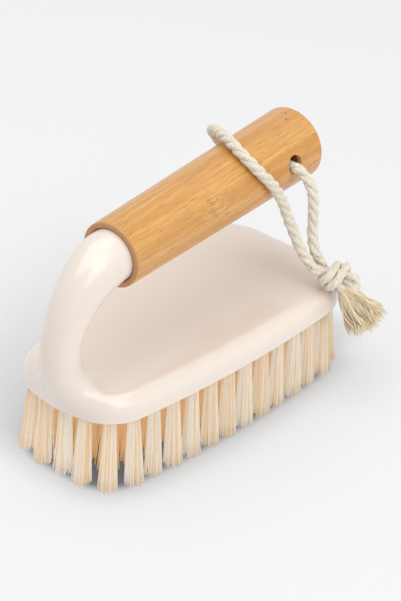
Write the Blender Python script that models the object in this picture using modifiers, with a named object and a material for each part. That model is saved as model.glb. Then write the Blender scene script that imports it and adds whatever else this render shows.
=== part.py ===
"""Cleaning brush: a moulded block and neck, a bamboo handle, rows of bristle tufts and a cotton cord.

Metres, +Z up, +X towards the free end of the handle. The bristle tips stand on z = 0.
"""
import math

import bmesh
import bpy
import numpy as np
from mathutils import Matrix, Vector

# Part
PART_NAME = "cleaning_brush"
FIT_GAP = 0.0003
CUT_OVERRUN = 0.002
WELD_DISTANCE = 0.00001
SMOOTH_ANGLE = math.radians(35)

# Block: front and rear ends straight, corners round, long sides slightly bowed
BLOCK_CENTRE_X = 0.0036
BLOCK_LENGTH = 0.150
BLOCK_FRONT_WIDTH = 0.0588
BLOCK_REAR_WIDTH = 0.078
BLOCK_FRONT_CORNER = 0.020
BLOCK_REAR_CORNER = 0.0245
BLOCK_SIDE_RADIUS = 0.540
BLOCK_THICKNESS = 0.0105
BLOCK_EDGE_ROUND = 0.007
BLOCK_EDGE_STEPS = 4
CORNER_STEPS = 7
SIDE_STEPS = 9

# Pocket under the block
RIM_WALL = 0.0015
BACKING_THICKNESS = 0.0045

# Tufts: the rim's tufts stand round the block's edge, counted all round. Of those, each end row holds
# the ones from the end's middle out to one side, and their mirror images.
BRISTLE_LENGTH = 0.033
RIM_TO_TUFT = 0.005
RIM_TUFTS = 36
ROW_TUFT_PITCH = 0.0115
TUFT_ROOT_DIAMETER = 0.0045
TUFT_TIP_GAP = 0.0016
INNER_TIP_SHRINK = 0.0012
RIM_SPLAY = 0.001
CORNER_SPLAY = 0.0015
STRANDS_PER_TUFT = 5
STRAND_SIDES = 3
STRAND_ROOT_DIAMETER = 0.0015
STRAND_TIP_DIAMETER = 0.0026
STRAND_ROOT_DEPTH = 0.002
FRONT_END_TUFTS = 3
REAR_END_TUFTS = 3

# Neck: its centreline is one cubic curve from the foot in the block to the handle's mouth
NECK_FOOT_INSET = 0.0066
NECK_FOOT_RISE = 0.006
NECK_LEAN = 0.0167
NECK_PULL_UP = 0.0250
NECK_PULL_BACK = 0.017
NECK_DIAMETER = 0.0166
NECK_MOUTH_DIAMETER = 0.0224
NECK_SWELL_START_SHARE = 0.30
NECK_STEPS = 14
NECK_RESOLUTION = 6
SPIGOT_LENGTH = 0.024

# Handle
HANDLE_FRONT_X = -0.0423
HANDLE_FRONT_HEIGHT = 0.090
HANDLE_TILT = math.radians(1.2)
HANDLE_LENGTH = 0.1168
HANDLE_FRONT_DIAMETER = 0.0278
HANDLE_REAR_DIAMETER = 0.0317
HANDLE_EASE = 0.0008
HANDLE_SIDES = 32
HOLE_DIAMETER = 0.008
HOLE_FROM_END = 0.0183
HOLE_TURN = math.radians(11.9)
HOLE_SIDES = 16

# Cord: one loop, from the knot up through the cross hole, round behind the handle and down again
CORD_DIAMETER = 0.0048
CORD_RESOLUTION = 2
CORD_STEP_SHARE = 2.0
CORD_FINE_STEPS = 24
KNOT_CENTRE = Vector((0.0601, -0.0397, 0.0494))
KNOT_AXIS = Vector((0.35, -0.80, -0.49)).normalized()
KNOT_LENGTH = 0.0155
KNOT_DIAMETER = 0.0142
KNOT_EASE = 0.0018
KNOT_EASE_STEPS = 2
KNOT_SIDES = 16
STRAND_SPREAD = 0.0054
CORD_LEAD = 0.004
CORD_ROUTE = [
    (0.0543, -0.0295, 0.0620),
    (0.0549, -0.0275, 0.0690),
    (0.0556, -0.0266, 0.0780),
    (0.0558, -0.0252, 0.0862),
    (0.0556, -0.0215, 0.0920),
    (0.0560, -0.0158, 0.0953),
    (0.0561, -0.0080, 0.0938),
    (0.0561, 0.0000, 0.0921),
    (0.0561, 0.0080, 0.0904),
    (0.0560, 0.0158, 0.0888),
    (0.0555, 0.0212, 0.0900),
    (0.0530, 0.0238, 0.0945),
    (0.0475, 0.0217, 0.1005),
    (0.0405, 0.0146, 0.1060),
    (0.0345, 0.0065, 0.1095),
    (0.0305, -0.0020, 0.1099),
    (0.0293, -0.0098, 0.1070),
    (0.0322, -0.0153, 0.1015),
    (0.0378, -0.0181, 0.0940),
    (0.0430, -0.0189, 0.0860),
    (0.0462, -0.0200, 0.0780),
    (0.0480, -0.0226, 0.0700),
    (0.0487, -0.0262, 0.0632),
]

# Tassel
TASSEL_END = Vector((0.0625, -0.0535, 0.0300))
TASSEL_NECK_DIAMETER = 0.0062
TASSEL_MIDDLE_WIDTH = 0.0105
TASSEL_END_WIDTH = 0.0185
TASSEL_END_DEPTH = 0.0075
TASSEL_MIDDLE_SHARE = 0.45
TASSEL_SIDES = 12

CREAM_PLASTIC = ("cream_plastic", (0.84, 0.74, 0.66), 0.22)
BAMBOO = ("bamboo", (0.76, 0.46, 0.16), 0.45)
CREAM_BRISTLE = ("cream_bristle", (0.86, 0.72, 0.55), 0.55)
COTTON_CORD = ("cotton_cord", (0.72, 0.66, 0.53), 0.9)
COTTON_KNOT = ("cotton_knot", (0.70, 0.64, 0.51), 0.9)
COTTON_YARN = ("cotton_yarn", (0.66, 0.58, 0.44), 0.9)


# Scene helpers

def clear_scene():
    """Remove everything that the startup file holds."""
    for thing in list(bpy.data.objects):
        bpy.data.objects.remove(thing, do_unlink=True)


def new_collection(name):
    collection = bpy.data.collections.new(name)
    bpy.context.scene.collection.children.link(collection)
    return collection


def new_material(look, suffix=""):
    """A plain Principled material from a (name, colour, roughness) look."""
    name, colour, roughness = look
    material = bpy.data.materials.new(name + suffix)
    material.use_nodes = True
    shader = material.node_tree.nodes["Principled BSDF"]
    shader.inputs["Base Color"].default_value = (*colour, 1)
    shader.inputs["Roughness"].default_value = roughness
    shader.inputs["Metallic"].default_value = 0.0
    return material


def add_mesh(name, mesh, collection, material=None, matrix=None):
    thing = bpy.data.objects.new(name, mesh)
    collection.objects.link(thing)
    if matrix is not None:
        thing.matrix_world = matrix
    if material is not None:
        mesh.materials.clear()
        mesh.materials.append(material)
    return thing


def as_helper(thing):
    """Mark an object that only shapes others."""
    thing.hide_render = True
    thing.display_type = "WIRE"
    return thing


def smooth(thing):
    thing.data.shade_smooth()
    thing.data.set_sharp_from_angle(angle=SMOOTH_ANGLE)


def curve_to_mesh(curve_thing, collection, name, material=None):
    """The curve's mesh, its caps welded on, as a new object in the curve's place."""
    graph = bpy.context.evaluated_depsgraph_get()
    mesh = bpy.data.meshes.new_from_object(curve_thing.evaluated_get(graph))
    body = bmesh.new()
    body.from_mesh(mesh)
    bmesh.ops.remove_doubles(body, verts=body.verts, dist=WELD_DISTANCE)
    body.to_mesh(mesh)
    body.free()
    mesh.name = name
    matrix = curve_thing.matrix_world.copy()
    bpy.data.objects.remove(curve_thing, do_unlink=True)
    return add_mesh(name, mesh, collection, material, matrix)


def add_slab(name, outline, bottom, top, collection, material=None):
    """A flat plate: a filled outline in x and y, extruded between two heights."""
    curve = bpy.data.curves.new(name, "CURVE")
    curve.dimensions = "2D"
    curve.fill_mode = "BOTH"
    curve.extrude = (top - bottom) / 2
    spline = curve.splines.new("POLY")
    spline.points.add(len(outline) - 1)
    for point, (x, y) in zip(spline.points, outline):
        point.co = (x, y, 0, 1)
    spline.use_cyclic_u = True
    thing = bpy.data.objects.new(name, curve)
    collection.objects.link(thing)
    thing.location.z = (top + bottom) / 2
    bpy.context.view_layer.update()
    return curve_to_mesh(thing, collection, name, material)


def add_tube(name, points, radii, resolution, collection, material=None):
    """A capped tube along points, with a radius at each point."""
    curve = bpy.data.curves.new(name, "CURVE")
    curve.dimensions = "3D"
    curve.bevel_depth = max(radii)
    curve.bevel_resolution = resolution
    curve.use_fill_caps = True
    spline = curve.splines.new("POLY")
    spline.points.add(len(points) - 1)
    for point, place, radius in zip(spline.points, points, radii):
        point.co = (*place, 1)
        point.radius = radius / max(radii)
    if material is not None:
        curve.materials.append(material)
    thing = bpy.data.objects.new(name, curve)
    collection.objects.link(thing)
    bpy.context.view_layer.update()
    return thing


def boolean(thing, other, operation):
    modifier = thing.modifiers.new(operation.lower(), "BOOLEAN")
    modifier.operation = operation
    modifier.solver = "EXACT"
    modifier.object = other


# Block outline

def corner_circles():
    """Centres and radii of the front and rear corner circles on the +Y side, in block coordinates."""
    front = Vector((BLOCK_FRONT_CORNER - BLOCK_LENGTH / 2, BLOCK_FRONT_WIDTH / 2 - BLOCK_FRONT_CORNER))
    rear = Vector((BLOCK_LENGTH / 2 - BLOCK_REAR_CORNER, BLOCK_REAR_WIDTH / 2 - BLOCK_REAR_CORNER))
    return front, rear


def side_centre():
    """Centre of the large arc that touches both corner circles from outside."""
    front, rear = corner_circles()
    to_front = BLOCK_SIDE_RADIUS - BLOCK_FRONT_CORNER
    to_rear = BLOCK_SIDE_RADIUS - BLOCK_REAR_CORNER
    span = (rear - front).length
    along = (to_front ** 2 - to_rear ** 2 + span ** 2) / (2 * span)
    across = math.sqrt(to_front ** 2 - along ** 2)
    unit = (rear - front) / span
    return front + unit * along + Vector((unit.y, -unit.x)) * across


def arc(centre, radius, start, end, steps):
    """Points of an arc, both ends included."""
    angles = np.linspace(start, end, steps + 1)
    return [Vector((centre.x + radius * math.cos(a), centre.y + radius * math.sin(a))) for a in angles]


def half_outline(inset, corner_steps=CORNER_STEPS, side_steps=SIDE_STEPS):
    """The +Y half of the block's outline, front to rear, drawn in by inset."""
    front, rear = corner_circles()
    middle = side_centre()
    front_angle = math.atan2(front.y - middle.y, front.x - middle.x)
    rear_angle = math.atan2(rear.y - middle.y, rear.x - middle.x)
    points = arc(front, BLOCK_FRONT_CORNER - inset, math.pi, front_angle, corner_steps)
    points += arc(middle, BLOCK_SIDE_RADIUS - inset, front_angle, rear_angle, side_steps)[1:-1]
    points += arc(rear, BLOCK_REAR_CORNER - inset, rear_angle, 0, corner_steps)
    return [Vector((p.x + BLOCK_CENTRE_X, p.y)) for p in points]


def full_outline(inset):
    """The whole outline, anticlockwise."""
    half = half_outline(inset)
    return [(p.x, -p.y) for p in half] + [(p.x, p.y) for p in reversed(half)]


def half_width(x, inset):
    """Half the outline's width at x, with the outline drawn in by inset."""
    front, rear = corner_circles()
    middle = side_centre()
    x = x - BLOCK_CENTRE_X
    widths = [middle.y + math.sqrt((BLOCK_SIDE_RADIUS - inset) ** 2 - (x - middle.x) ** 2)]
    for centre, radius, outside in (
        (front, BLOCK_FRONT_CORNER - inset, x < front.x),
        (rear, BLOCK_REAR_CORNER - inset, x > rear.x),
    ):
        if outside:
            reach = max(radius ** 2 - (x - centre.x) ** 2, 0)
            widths.append(centre.y + math.sqrt(reach))
    return min(widths)


# Body

BLOCK_BOTTOM = BRISTLE_LENGTH
BLOCK_TOP = BLOCK_BOTTOM + BLOCK_THICKNESS
BLOCK_FRONT = BLOCK_CENTRE_X - BLOCK_LENGTH / 2
BLOCK_REAR = BLOCK_CENTRE_X + BLOCK_LENGTH / 2
HANDLE_MOUTH = Vector((HANDLE_FRONT_X, 0, HANDLE_FRONT_HEIGHT))
HANDLE_DIRECTION = Vector((math.cos(HANDLE_TILT), 0, math.sin(HANDLE_TILT)))
SOCKET_DEPTH = SPIGOT_LENGTH + FIT_GAP
SOCKET_DIAMETER = NECK_MOUTH_DIAMETER + 2 * FIT_GAP


def neck_route():
    """Centreline points and radii of the neck, with the straight spigot at its end."""
    foot = Vector((BLOCK_FRONT + NECK_FOOT_INSET, 0, BLOCK_BOTTOM + NECK_FOOT_RISE))
    pull_up = foot + Vector((-NECK_LEAN, 0, NECK_PULL_UP))
    pull_back = HANDLE_MOUTH - HANDLE_DIRECTION * NECK_PULL_BACK
    points = []
    radii = []
    for t in np.linspace(0, 1, NECK_STEPS + 1):
        points.append(
            foot * (1 - t) ** 3
            + pull_up * (3 * t * (1 - t) ** 2)
            + pull_back * (3 * t * t * (1 - t))
            + HANDLE_MOUTH * t ** 3
        )
        swell = min(max((t - NECK_SWELL_START_SHARE) / (1 - NECK_SWELL_START_SHARE), 0), 1)
        swell = swell * swell * (3 - 2 * swell)
        radii.append((NECK_DIAMETER + (NECK_MOUTH_DIAMETER - NECK_DIAMETER) * swell) / 2)
    points.append(HANDLE_MOUTH + HANDLE_DIRECTION * SPIGOT_LENGTH)
    radii.append(NECK_MOUTH_DIAMETER / 2)
    return points, radii


def round_top_edge(block):
    """Bevel only the rim of the block's top face."""
    mesh = block.data
    body = bmesh.new()
    body.from_mesh(mesh)
    bmesh.ops.dissolve_limit(body, angle_limit=math.radians(1), verts=body.verts, edges=body.edges)
    weights = body.edges.layers.float.new("bevel_weight_edge")
    top = max(vertex.co.z for vertex in body.verts)
    for edge in body.edges:
        on_top = all(abs(vertex.co.z - top) < WELD_DISTANCE for vertex in edge.verts)
        edge[weights] = 1.0 if on_top else 0.0
    body.to_mesh(mesh)
    body.free()
    bevel = block.modifiers.new("rounded rim", "BEVEL")
    bevel.limit_method = "WEIGHT"
    bevel.width = BLOCK_EDGE_ROUND
    bevel.segments = BLOCK_EDGE_STEPS


def add_brush_body(parts, helpers):
    """The moulding: block, neck and spigot, with a pocket for the tuft rows underneath."""
    block = add_slab(
        "brush_body", full_outline(0), BLOCK_BOTTOM, BLOCK_TOP, parts, new_material(CREAM_PLASTIC)
    )
    round_top_edge(block)
    points, radii = neck_route()
    neck_curve = add_tube("neck", points, radii, NECK_RESOLUTION, helpers)
    neck = as_helper(curve_to_mesh(neck_curve, helpers, "neck"))
    pocket = as_helper(
        add_slab(
            "pocket",
            full_outline(RIM_WALL),
            BLOCK_BOTTOM - CUT_OVERRUN,
            BLOCK_BOTTOM + BACKING_THICKNESS + FIT_GAP,
            helpers,
        )
    )
    boolean(block, neck, "UNION")
    boolean(block, pocket, "DIFFERENCE")
    smooth(block)
    return block


# Handle

def add_bamboo_handle(parts, helpers):
    """Turned bamboo: a socket in its front end and a cross hole near its rear end."""
    front, rear = HANDLE_FRONT_DIAMETER / 2, HANDLE_REAR_DIAMETER / 2
    socket = SOCKET_DIAMETER / 2
    profile = [
        (0, HANDLE_LENGTH),
        (rear - HANDLE_EASE, HANDLE_LENGTH),
        (rear, HANDLE_LENGTH - HANDLE_EASE),
        (front, HANDLE_EASE),
        (front - HANDLE_EASE, 0),
        (socket, 0),
        (socket, SOCKET_DEPTH),
        (0, SOCKET_DEPTH),
    ]
    mesh = bpy.data.meshes.new("bamboo_handle")
    mesh.from_pydata([(x, 0, z) for x, z in profile], [(i, i + 1) for i in range(len(profile) - 1)], [])
    handle = add_mesh("bamboo_handle", mesh, parts, new_material(BAMBOO))
    handle.location = HANDLE_MOUTH
    handle.rotation_euler = (0, math.pi / 2 - HANDLE_TILT, 0)
    turn = handle.modifiers.new("turned", "SCREW")
    turn.axis = "Z"
    turn.steps = HANDLE_SIDES
    turn.render_steps = HANDLE_SIDES
    turn.use_merge_vertices = True
    turn.merge_threshold = WELD_DISTANCE
    bpy.ops.mesh.primitive_cylinder_add(
        vertices=HOLE_SIDES, radius=HOLE_DIAMETER / 2, depth=HANDLE_REAR_DIAMETER + 2 * CUT_OVERRUN
    )
    drill = as_helper(bpy.context.object)
    drill.name = "cross_hole"
    drill.location = HANDLE_MOUTH + HANDLE_DIRECTION * (HANDLE_LENGTH - HOLE_FROM_END)
    drill.rotation_euler = (math.pi / 2 - HOLE_TURN, 0, 0)
    for home in list(drill.users_collection):
        home.objects.unlink(drill)
    helpers.objects.link(drill)
    boolean(handle, drill, "DIFFERENCE")
    smooth(handle)
    return handle


# Tufts

def rim_tufts():
    """Places and outward directions of the rim's tufts on the +Y side, front to rear, and their spacing."""
    half = half_outline(RIM_TO_TUFT, 4 * CORNER_STEPS, 4 * SIDE_STEPS)
    path = [Vector((half[0].x, 0))] + half + [Vector((half[-1].x, 0))]
    lengths = np.cumsum([0] + [(b - a).length for a, b in zip(path, path[1:])])
    places = []
    for s in np.linspace(0, lengths[-1], RIM_TUFTS // 2 + 1):
        i = min(int(np.searchsorted(lengths, s, side="right")) - 1, len(path) - 2)
        along = (path[i + 1] - path[i]).normalized()
        place = path[i] + along * (s - lengths[i])
        places.append((place, Vector((-along.y, along.x))))
    return places, lengths[-1] / (RIM_TUFTS // 2)


def tuft_rows():
    """Rows across the block, front to rear, each a list of (root, tip, tip diameter of the tuft)."""
    places, pitch = rim_tufts()
    rim_tip = pitch - TUFT_TIP_GAP
    inner_tip = rim_tip - INNER_TIP_SHRINK

    def pair(place, outward):
        corner = 2 * abs(outward.x * outward.y)
        tip = place + outward * (RIM_SPLAY + CORNER_SPLAY * corner)
        both = [(place, tip, rim_tip)]
        if place.y > TUFT_ROOT_DIAMETER:
            both.append((Vector((place.x, -place.y)), Vector((tip.x, -tip.y)), rim_tip))
        return both

    def inner(x, heights):
        return [(Vector((x, y)), Vector((x, y)), inner_tip) for y in heights]

    last = len(places) - REAR_END_TUFTS
    rows = [[tuft for place in places[:FRONT_END_TUFTS] for tuft in pair(*place)]]
    for place, outward in places[FRONT_END_TUFTS:last - 1]:
        count = round(2 * place.y / ROW_TUFT_PITCH) + 1
        rows.append(pair(place, outward) + inner(place.x, np.linspace(-place.y, place.y, count)[1:-1]))
    rear = places[last:]
    before, outward = places[last - 1]
    middle_x = (places[last - 2][0].x + rear[-1][0].x) / 2
    between = [(a[0].y + b[0].y) / 2 for a, b in zip(rear, rear[1:])]
    rows.append(pair(before, outward) + inner(middle_x, between + [-y for y in between]))
    rows.append([tuft for place in rear for tuft in pair(*place)])
    return rows


def row_edges(rows):
    """The x positions where one slice of backing ends and the next begins."""
    inset = RIM_WALL + FIT_GAP
    edges = [BLOCK_FRONT + inset]
    for row, after in zip(rows, rows[1:]):
        edges.append((max(root.x for root, _, _ in row) + min(root.x for root, _, _ in after)) / 2)
    return edges + [BLOCK_REAR - inset]


def slice_outline(start, end):
    """One slice of the backing, across the block, inside the pocket."""
    inset = RIM_WALL + FIT_GAP
    xs = np.linspace(start, end, CORNER_STEPS)
    side = [(float(x), half_width(float(x), inset)) for x in xs]
    return [(x, -y) for x, y in side] + [(x, y) for x, y in reversed(side)]


def add_strand(body, root, tip, root_radius, tip_radius, outward, bottom, top):
    """One bristle strand: a prism that leans from its root to its tip, ends level, one corner outwards."""
    turn = math.atan2(outward.y, outward.x) - math.pi / 2
    cone = bmesh.ops.create_cone(
        body, cap_ends=True, segments=STRAND_SIDES, radius1=tip_radius, radius2=root_radius,
        depth=top - bottom, matrix=Matrix.Rotation(turn, 4, "Z"),
    )
    for vertex in cone["verts"]:
        share = vertex.co.z / (top - bottom) + 1 / 2
        centre = tip.lerp(root, share)
        vertex.co.x += centre.x
        vertex.co.y += centre.y
        vertex.co.z += (top + bottom) / 2


def row_strands(name, row, helpers):
    """All strands of one row as one helper mesh."""
    body = bmesh.new()
    top = BLOCK_BOTTOM + STRAND_ROOT_DEPTH
    root_circle = (TUFT_ROOT_DIAMETER - STRAND_ROOT_DIAMETER) / 2
    for root, tip, tip_diameter in row:
        tip_circle = (tip_diameter - STRAND_TIP_DIAMETER) / 2
        way = -1 if root.y < 0 else 1
        for k in range(STRANDS_PER_TUFT):
            angle = way * 2 * math.pi * k / STRANDS_PER_TUFT
            outward = Vector((math.cos(angle), math.sin(angle)))
            add_strand(
                body, root + outward * root_circle, tip + outward * tip_circle,
                STRAND_ROOT_DIAMETER / 2, STRAND_TIP_DIAMETER / 2, outward, 0, top,
            )
    mesh = bpy.data.meshes.new(name)
    body.to_mesh(mesh)
    body.free()
    return as_helper(add_mesh(name, mesh, helpers))


def add_tuft_rows(parts, helpers):
    """Rows of tufts, each fused to its slice of the backing."""
    rows = tuft_rows()
    edges = row_edges(rows)
    for number, (row, start, end) in enumerate(zip(rows, edges, edges[1:]), 1):
        gap_before = FIT_GAP / 2 if number > 1 else 0
        gap_after = FIT_GAP / 2 if number < len(rows) else 0
        name = f"tuft_row_{number:02d}"
        backing = add_slab(
            name, slice_outline(start + gap_before, end - gap_after), BLOCK_BOTTOM,
            BLOCK_BOTTOM + BACKING_THICKNESS, parts, new_material(CREAM_BRISTLE, f"_{number:02d}"),
        )
        boolean(backing, row_strands(name + "_strands", row, helpers), "UNION")
        smooth(backing)
    print("tufts", sum(len(row) for row in rows), "strands", STRANDS_PER_TUFT * sum(len(row) for row in rows))


# Cord

def knot_side():
    """The direction from the upper strand to the lower one at the knot, square to the knot's axis."""
    down = Vector((0, 0, -1))
    return (down - KNOT_AXIS * down.dot(KNOT_AXIS)).normalized()


def smooth_route(points):
    """Even steps along a smooth curve through the route's points, all but its first and last stretch."""
    points = [Vector(point) for point in points]
    fine = []
    for a, b, c, d in zip(points, points[1:], points[2:], points[3:]):
        for k in range(CORD_FINE_STEPS):
            t = k / CORD_FINE_STEPS
            square, cube = 2 * a - 5 * b + 4 * c - d, 3 * b - a - 3 * c + d
            fine.append((2 * b + (c - a) * t + square * t ** 2 + cube * t ** 3) / 2)
    fine.append(points[-2])
    lengths = np.cumsum([0] + [(q - p).length for p, q in zip(fine, fine[1:])])
    count = round(lengths[-1] / (CORD_STEP_SHARE * CORD_DIAMETER))
    places = []
    for s in np.linspace(0, lengths[-1], count + 1):
        i = min(int(np.searchsorted(lengths, s, side="right")) - 1, len(fine) - 2)
        t = (s - lengths[i]) / (lengths[i + 1] - lengths[i])
        places.append(fine[i].lerp(fine[i + 1], t))
    return [points[0]] + places + [points[-1]], lengths[-1] + 2 * CORD_LEAD


def add_hanging_cord(parts):
    """The loop of cord, both ends square to the knot's upper face."""
    face = KNOT_CENTRE - KNOT_AXIS * (KNOT_LENGTH / 2 + FIT_GAP)
    side = knot_side() * (STRAND_SPREAD / 2)
    start, end = face - side, face + side
    route = [start, start - KNOT_AXIS * CORD_LEAD] + CORD_ROUTE + [end - KNOT_AXIS * CORD_LEAD, end]
    points, length = smooth_route(route)
    print("cord length", round(length, 5), "points", len(points))
    radii = [CORD_DIAMETER / 2] * len(points)
    return add_tube("hanging_cord", points, radii, CORD_RESOLUTION, parts, new_material(COTTON_CORD))


def add_cord_knot(parts):
    """The knot's outer shape: a short barrel with eased ends."""
    bpy.ops.mesh.primitive_cylinder_add(vertices=KNOT_SIDES, radius=KNOT_DIAMETER / 2, depth=KNOT_LENGTH)
    knot = bpy.context.object
    knot.name = "cord_knot"
    knot.data.name = "cord_knot"
    knot.location = KNOT_CENTRE
    knot.rotation_euler = KNOT_AXIS.to_track_quat("Z", "Y").to_euler()
    for home in list(knot.users_collection):
        home.objects.unlink(knot)
    parts.objects.link(knot)
    knot.data.materials.append(new_material(COTTON_KNOT))
    ease = knot.modifiers.new("eased ends", "BEVEL")
    ease.width = KNOT_EASE
    ease.segments = KNOT_EASE_STEPS
    ease.limit_method = "ANGLE"
    smooth(knot)
    return knot


def add_cord_tassel(parts):
    """The frayed ends: a loft from a round neck at the knot to a wide flat end."""
    start = KNOT_CENTRE + KNOT_AXIS * (KNOT_LENGTH / 2 + FIT_GAP)
    hang = (TASSEL_END - start).normalized()
    wide = hang.cross(Vector((1, 0, 0))).normalized()
    wide = hang.cross(wide).normalized()
    middle = start.lerp(TASSEL_END, TASSEL_MIDDLE_SHARE)
    neck_wide = (wide - KNOT_AXIS * wide.dot(KNOT_AXIS)).normalized()
    sections = [
        (start, neck_wide, KNOT_AXIS.cross(neck_wide), TASSEL_NECK_DIAMETER, TASSEL_NECK_DIAMETER),
        (middle, wide, hang.cross(wide), TASSEL_MIDDLE_WIDTH, TASSEL_NECK_DIAMETER),
        (TASSEL_END, wide, hang.cross(wide), TASSEL_END_WIDTH, TASSEL_END_DEPTH),
    ]
    body = bmesh.new()
    rings = []
    for centre, across, deep, width, depth in sections:
        ring = []
        for k in range(TASSEL_SIDES):
            angle = 2 * math.pi * k / TASSEL_SIDES
            ring.append(body.verts.new(
                centre + across * (math.cos(angle) * width / 2) + deep * (math.sin(angle) * depth / 2)
            ))
        rings.append(ring)
    for upper, lower in zip(rings, rings[1:]):
        for k in range(TASSEL_SIDES):
            after = (k + 1) % TASSEL_SIDES
            body.faces.new((upper[k], upper[after], lower[after], lower[k]))
    body.faces.new(rings[0])
    body.faces.new(rings[-1])
    bmesh.ops.recalc_face_normals(body, faces=body.faces)
    mesh = bpy.data.meshes.new("cord_tassel")
    body.to_mesh(mesh)
    body.free()
    tassel = add_mesh("cord_tassel", mesh, parts, new_material(COTTON_YARN))
    smooth(tassel)
    return tassel


def main():
    clear_scene()
    parts = new_collection(PART_NAME)
    helpers = new_collection(PART_NAME + "_cutters")
    add_brush_body(parts, helpers)
    add_bamboo_handle(parts, helpers)
    add_tuft_rows(parts, helpers)
    add_hanging_cord(parts)
    add_cord_knot(parts)
    add_cord_tassel(parts)


main()
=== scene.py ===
import math

import bmesh
import bpy
import numpy as np
from mathutils import Matrix, Vector


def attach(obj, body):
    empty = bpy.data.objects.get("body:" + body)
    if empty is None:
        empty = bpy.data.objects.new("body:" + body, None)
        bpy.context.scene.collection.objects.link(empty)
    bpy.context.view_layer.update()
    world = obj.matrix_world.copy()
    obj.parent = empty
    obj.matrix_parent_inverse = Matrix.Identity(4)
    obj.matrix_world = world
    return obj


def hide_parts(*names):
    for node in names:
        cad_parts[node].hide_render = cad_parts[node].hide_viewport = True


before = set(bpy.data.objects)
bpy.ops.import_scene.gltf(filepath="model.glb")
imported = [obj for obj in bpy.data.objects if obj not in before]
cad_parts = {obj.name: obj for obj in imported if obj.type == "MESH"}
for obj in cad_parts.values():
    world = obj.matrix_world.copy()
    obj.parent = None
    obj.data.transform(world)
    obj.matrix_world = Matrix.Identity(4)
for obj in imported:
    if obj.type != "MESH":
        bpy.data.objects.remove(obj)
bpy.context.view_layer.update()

# Cleaning brush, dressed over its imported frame.
# Metres, +Z up, +X towards the free end of the handle, bristle tips on z = 0.

BODY = "root"

# Camera: fitted to the brush's outline in the photo
CAMERA_RIGHT = Vector((0.6262100, -0.7780271, 0.0503473))
CAMERA_UP = Vector((0.4032056, 0.3784447, 0.8331895))
CAMERA_BACK = Vector((-0.6672977, -0.5014513, 0.5506908))
CAMERA_PLACE = Vector((-0.6498106, -0.5014513, 0.5909259))
FOCAL_LENGTH = 144.44

# Lamps
BRUSH_MIDDLE = Vector((0, 0, 0.05))
SOFT_WHITE = (0.985, 0.99, 1.0)

# Block outline: straight ends, round corners, long sides slightly bowed
BLOCK_FRONT = -0.0714
BLOCK_REAR = 0.0786
FRONT_CORNER = Vector((-0.0514, 0.0094))
FRONT_CORNER_RADIUS = 0.020
REAR_CORNER = Vector((0.0541, 0.0145))
REAR_CORNER_RADIUS = 0.0245
SIDE_RADIUS = 0.540
BLOCK_BOTTOM = 0.033
BLOCK_TOP = 0.0435
TOP_EDGE_ROUND = 0.0075
LIP_ROUND = 0.0004
RIM_WALL = 0.0015
FIT_GAP = 0.0003
BACKING_TOP = 0.0378

# Neck
NECK_FOOT = Vector((-0.0648, 0, 0.039))
NECK_PULL_UP = Vector((-0.0815, 0, 0.064))
NECK_PULL_BACK_LENGTH = 0.017
NECK_RADIUS = 0.0083
NECK_MOUTH_RADIUS = 0.0112
NECK_SWELL_START = 0.30
NECK_FILLET = 0.0070
FLUSH_FILLET = 0.0032
SPIGOT_LENGTH = 0.024
# How the neck's surface is found: points at a time, rounds of search, points along its middle
NECK_BATCH = 4000
NECK_SEARCH_ROUNDS = 4
NECK_LINE_POINTS = 320
SLOPE_STEP = 2e-5
MEETING_STEP = 0.0025
SKIN_VOXEL = 0.0008

# Handle
HANDLE_MOUTH = Vector((-0.0423, 0, 0.090))
HANDLE_TILT = math.radians(1.2)
HANDLE_AXIS = Vector((math.cos(HANDLE_TILT), 0, math.sin(HANDLE_TILT)))
HANDLE_UP = Vector((-math.sin(HANDLE_TILT), 0, math.cos(HANDLE_TILT)))
HANDLE_ACROSS = Vector((0, 1, 0))
HANDLE_SIDES = 144
HANDLE_LENGTH = 0.1168
HANDLE_FRONT_RADIUS = 0.0139
HANDLE_REAR_RADIUS = 0.01585
SOCKET_RADIUS = 0.0115
SOCKET_DEPTH = 0.0243
REAR_EASE = 0.0009
FRONT_EASE = 0.0007
SOCKET_EASE = 0.0003
WORN_EDGE = 0.0004
HOLE_PLACE = HANDLE_MOUTH + HANDLE_AXIS * (HANDLE_LENGTH - 0.0183)
HOLE_RADIUS = 0.004
HOLE_TURN = math.radians(11.9)
HOLE_AXIS = Vector((0, math.cos(HOLE_TURN), -math.sin(HOLE_TURN)))
DRILL_REACH = 0.02
DRILL_SIDES = 40
# Marks in the bamboo: along the handle, across it and up, in millimetres, and the way round it at the scar
BUD_SCAR = (48.5, -13.4, 6.1)
SCAR_AROUND = (0.0, 0.416, 0.909)
DARK_SPECKS = ((111.5, 0.5, 15.75), (108.1, -2.3, 15.5))
HANDLE_MILLIMETRES = HANDLE_LENGTH * 1000

# Cream moulding: where its parting line fades out to the rear and to the front, in millimetres
CREAM_ROUGHNESS = 0.28
PARTING_LINE_FADES = ((30.0, 0.0), (-56.0, -48.0))

# Floor: how far it goes, its grid near the brush, which way the brush's shadow falls, and how dark
FLOOR_REACH = 3.0
FLOOR_GRID = (-0.16, 0.20, 226)
SHADOW_FALL = (0.010, 0.085)
TASSEL_SHADE_PLACE = (0.088, -0.020)
CAST_SHADE = 0.43
TASSEL_SHADE = 0.22
TASSEL_SHADE_RADIUS = 0.019
UNDER_SHADE = 0.8

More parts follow.
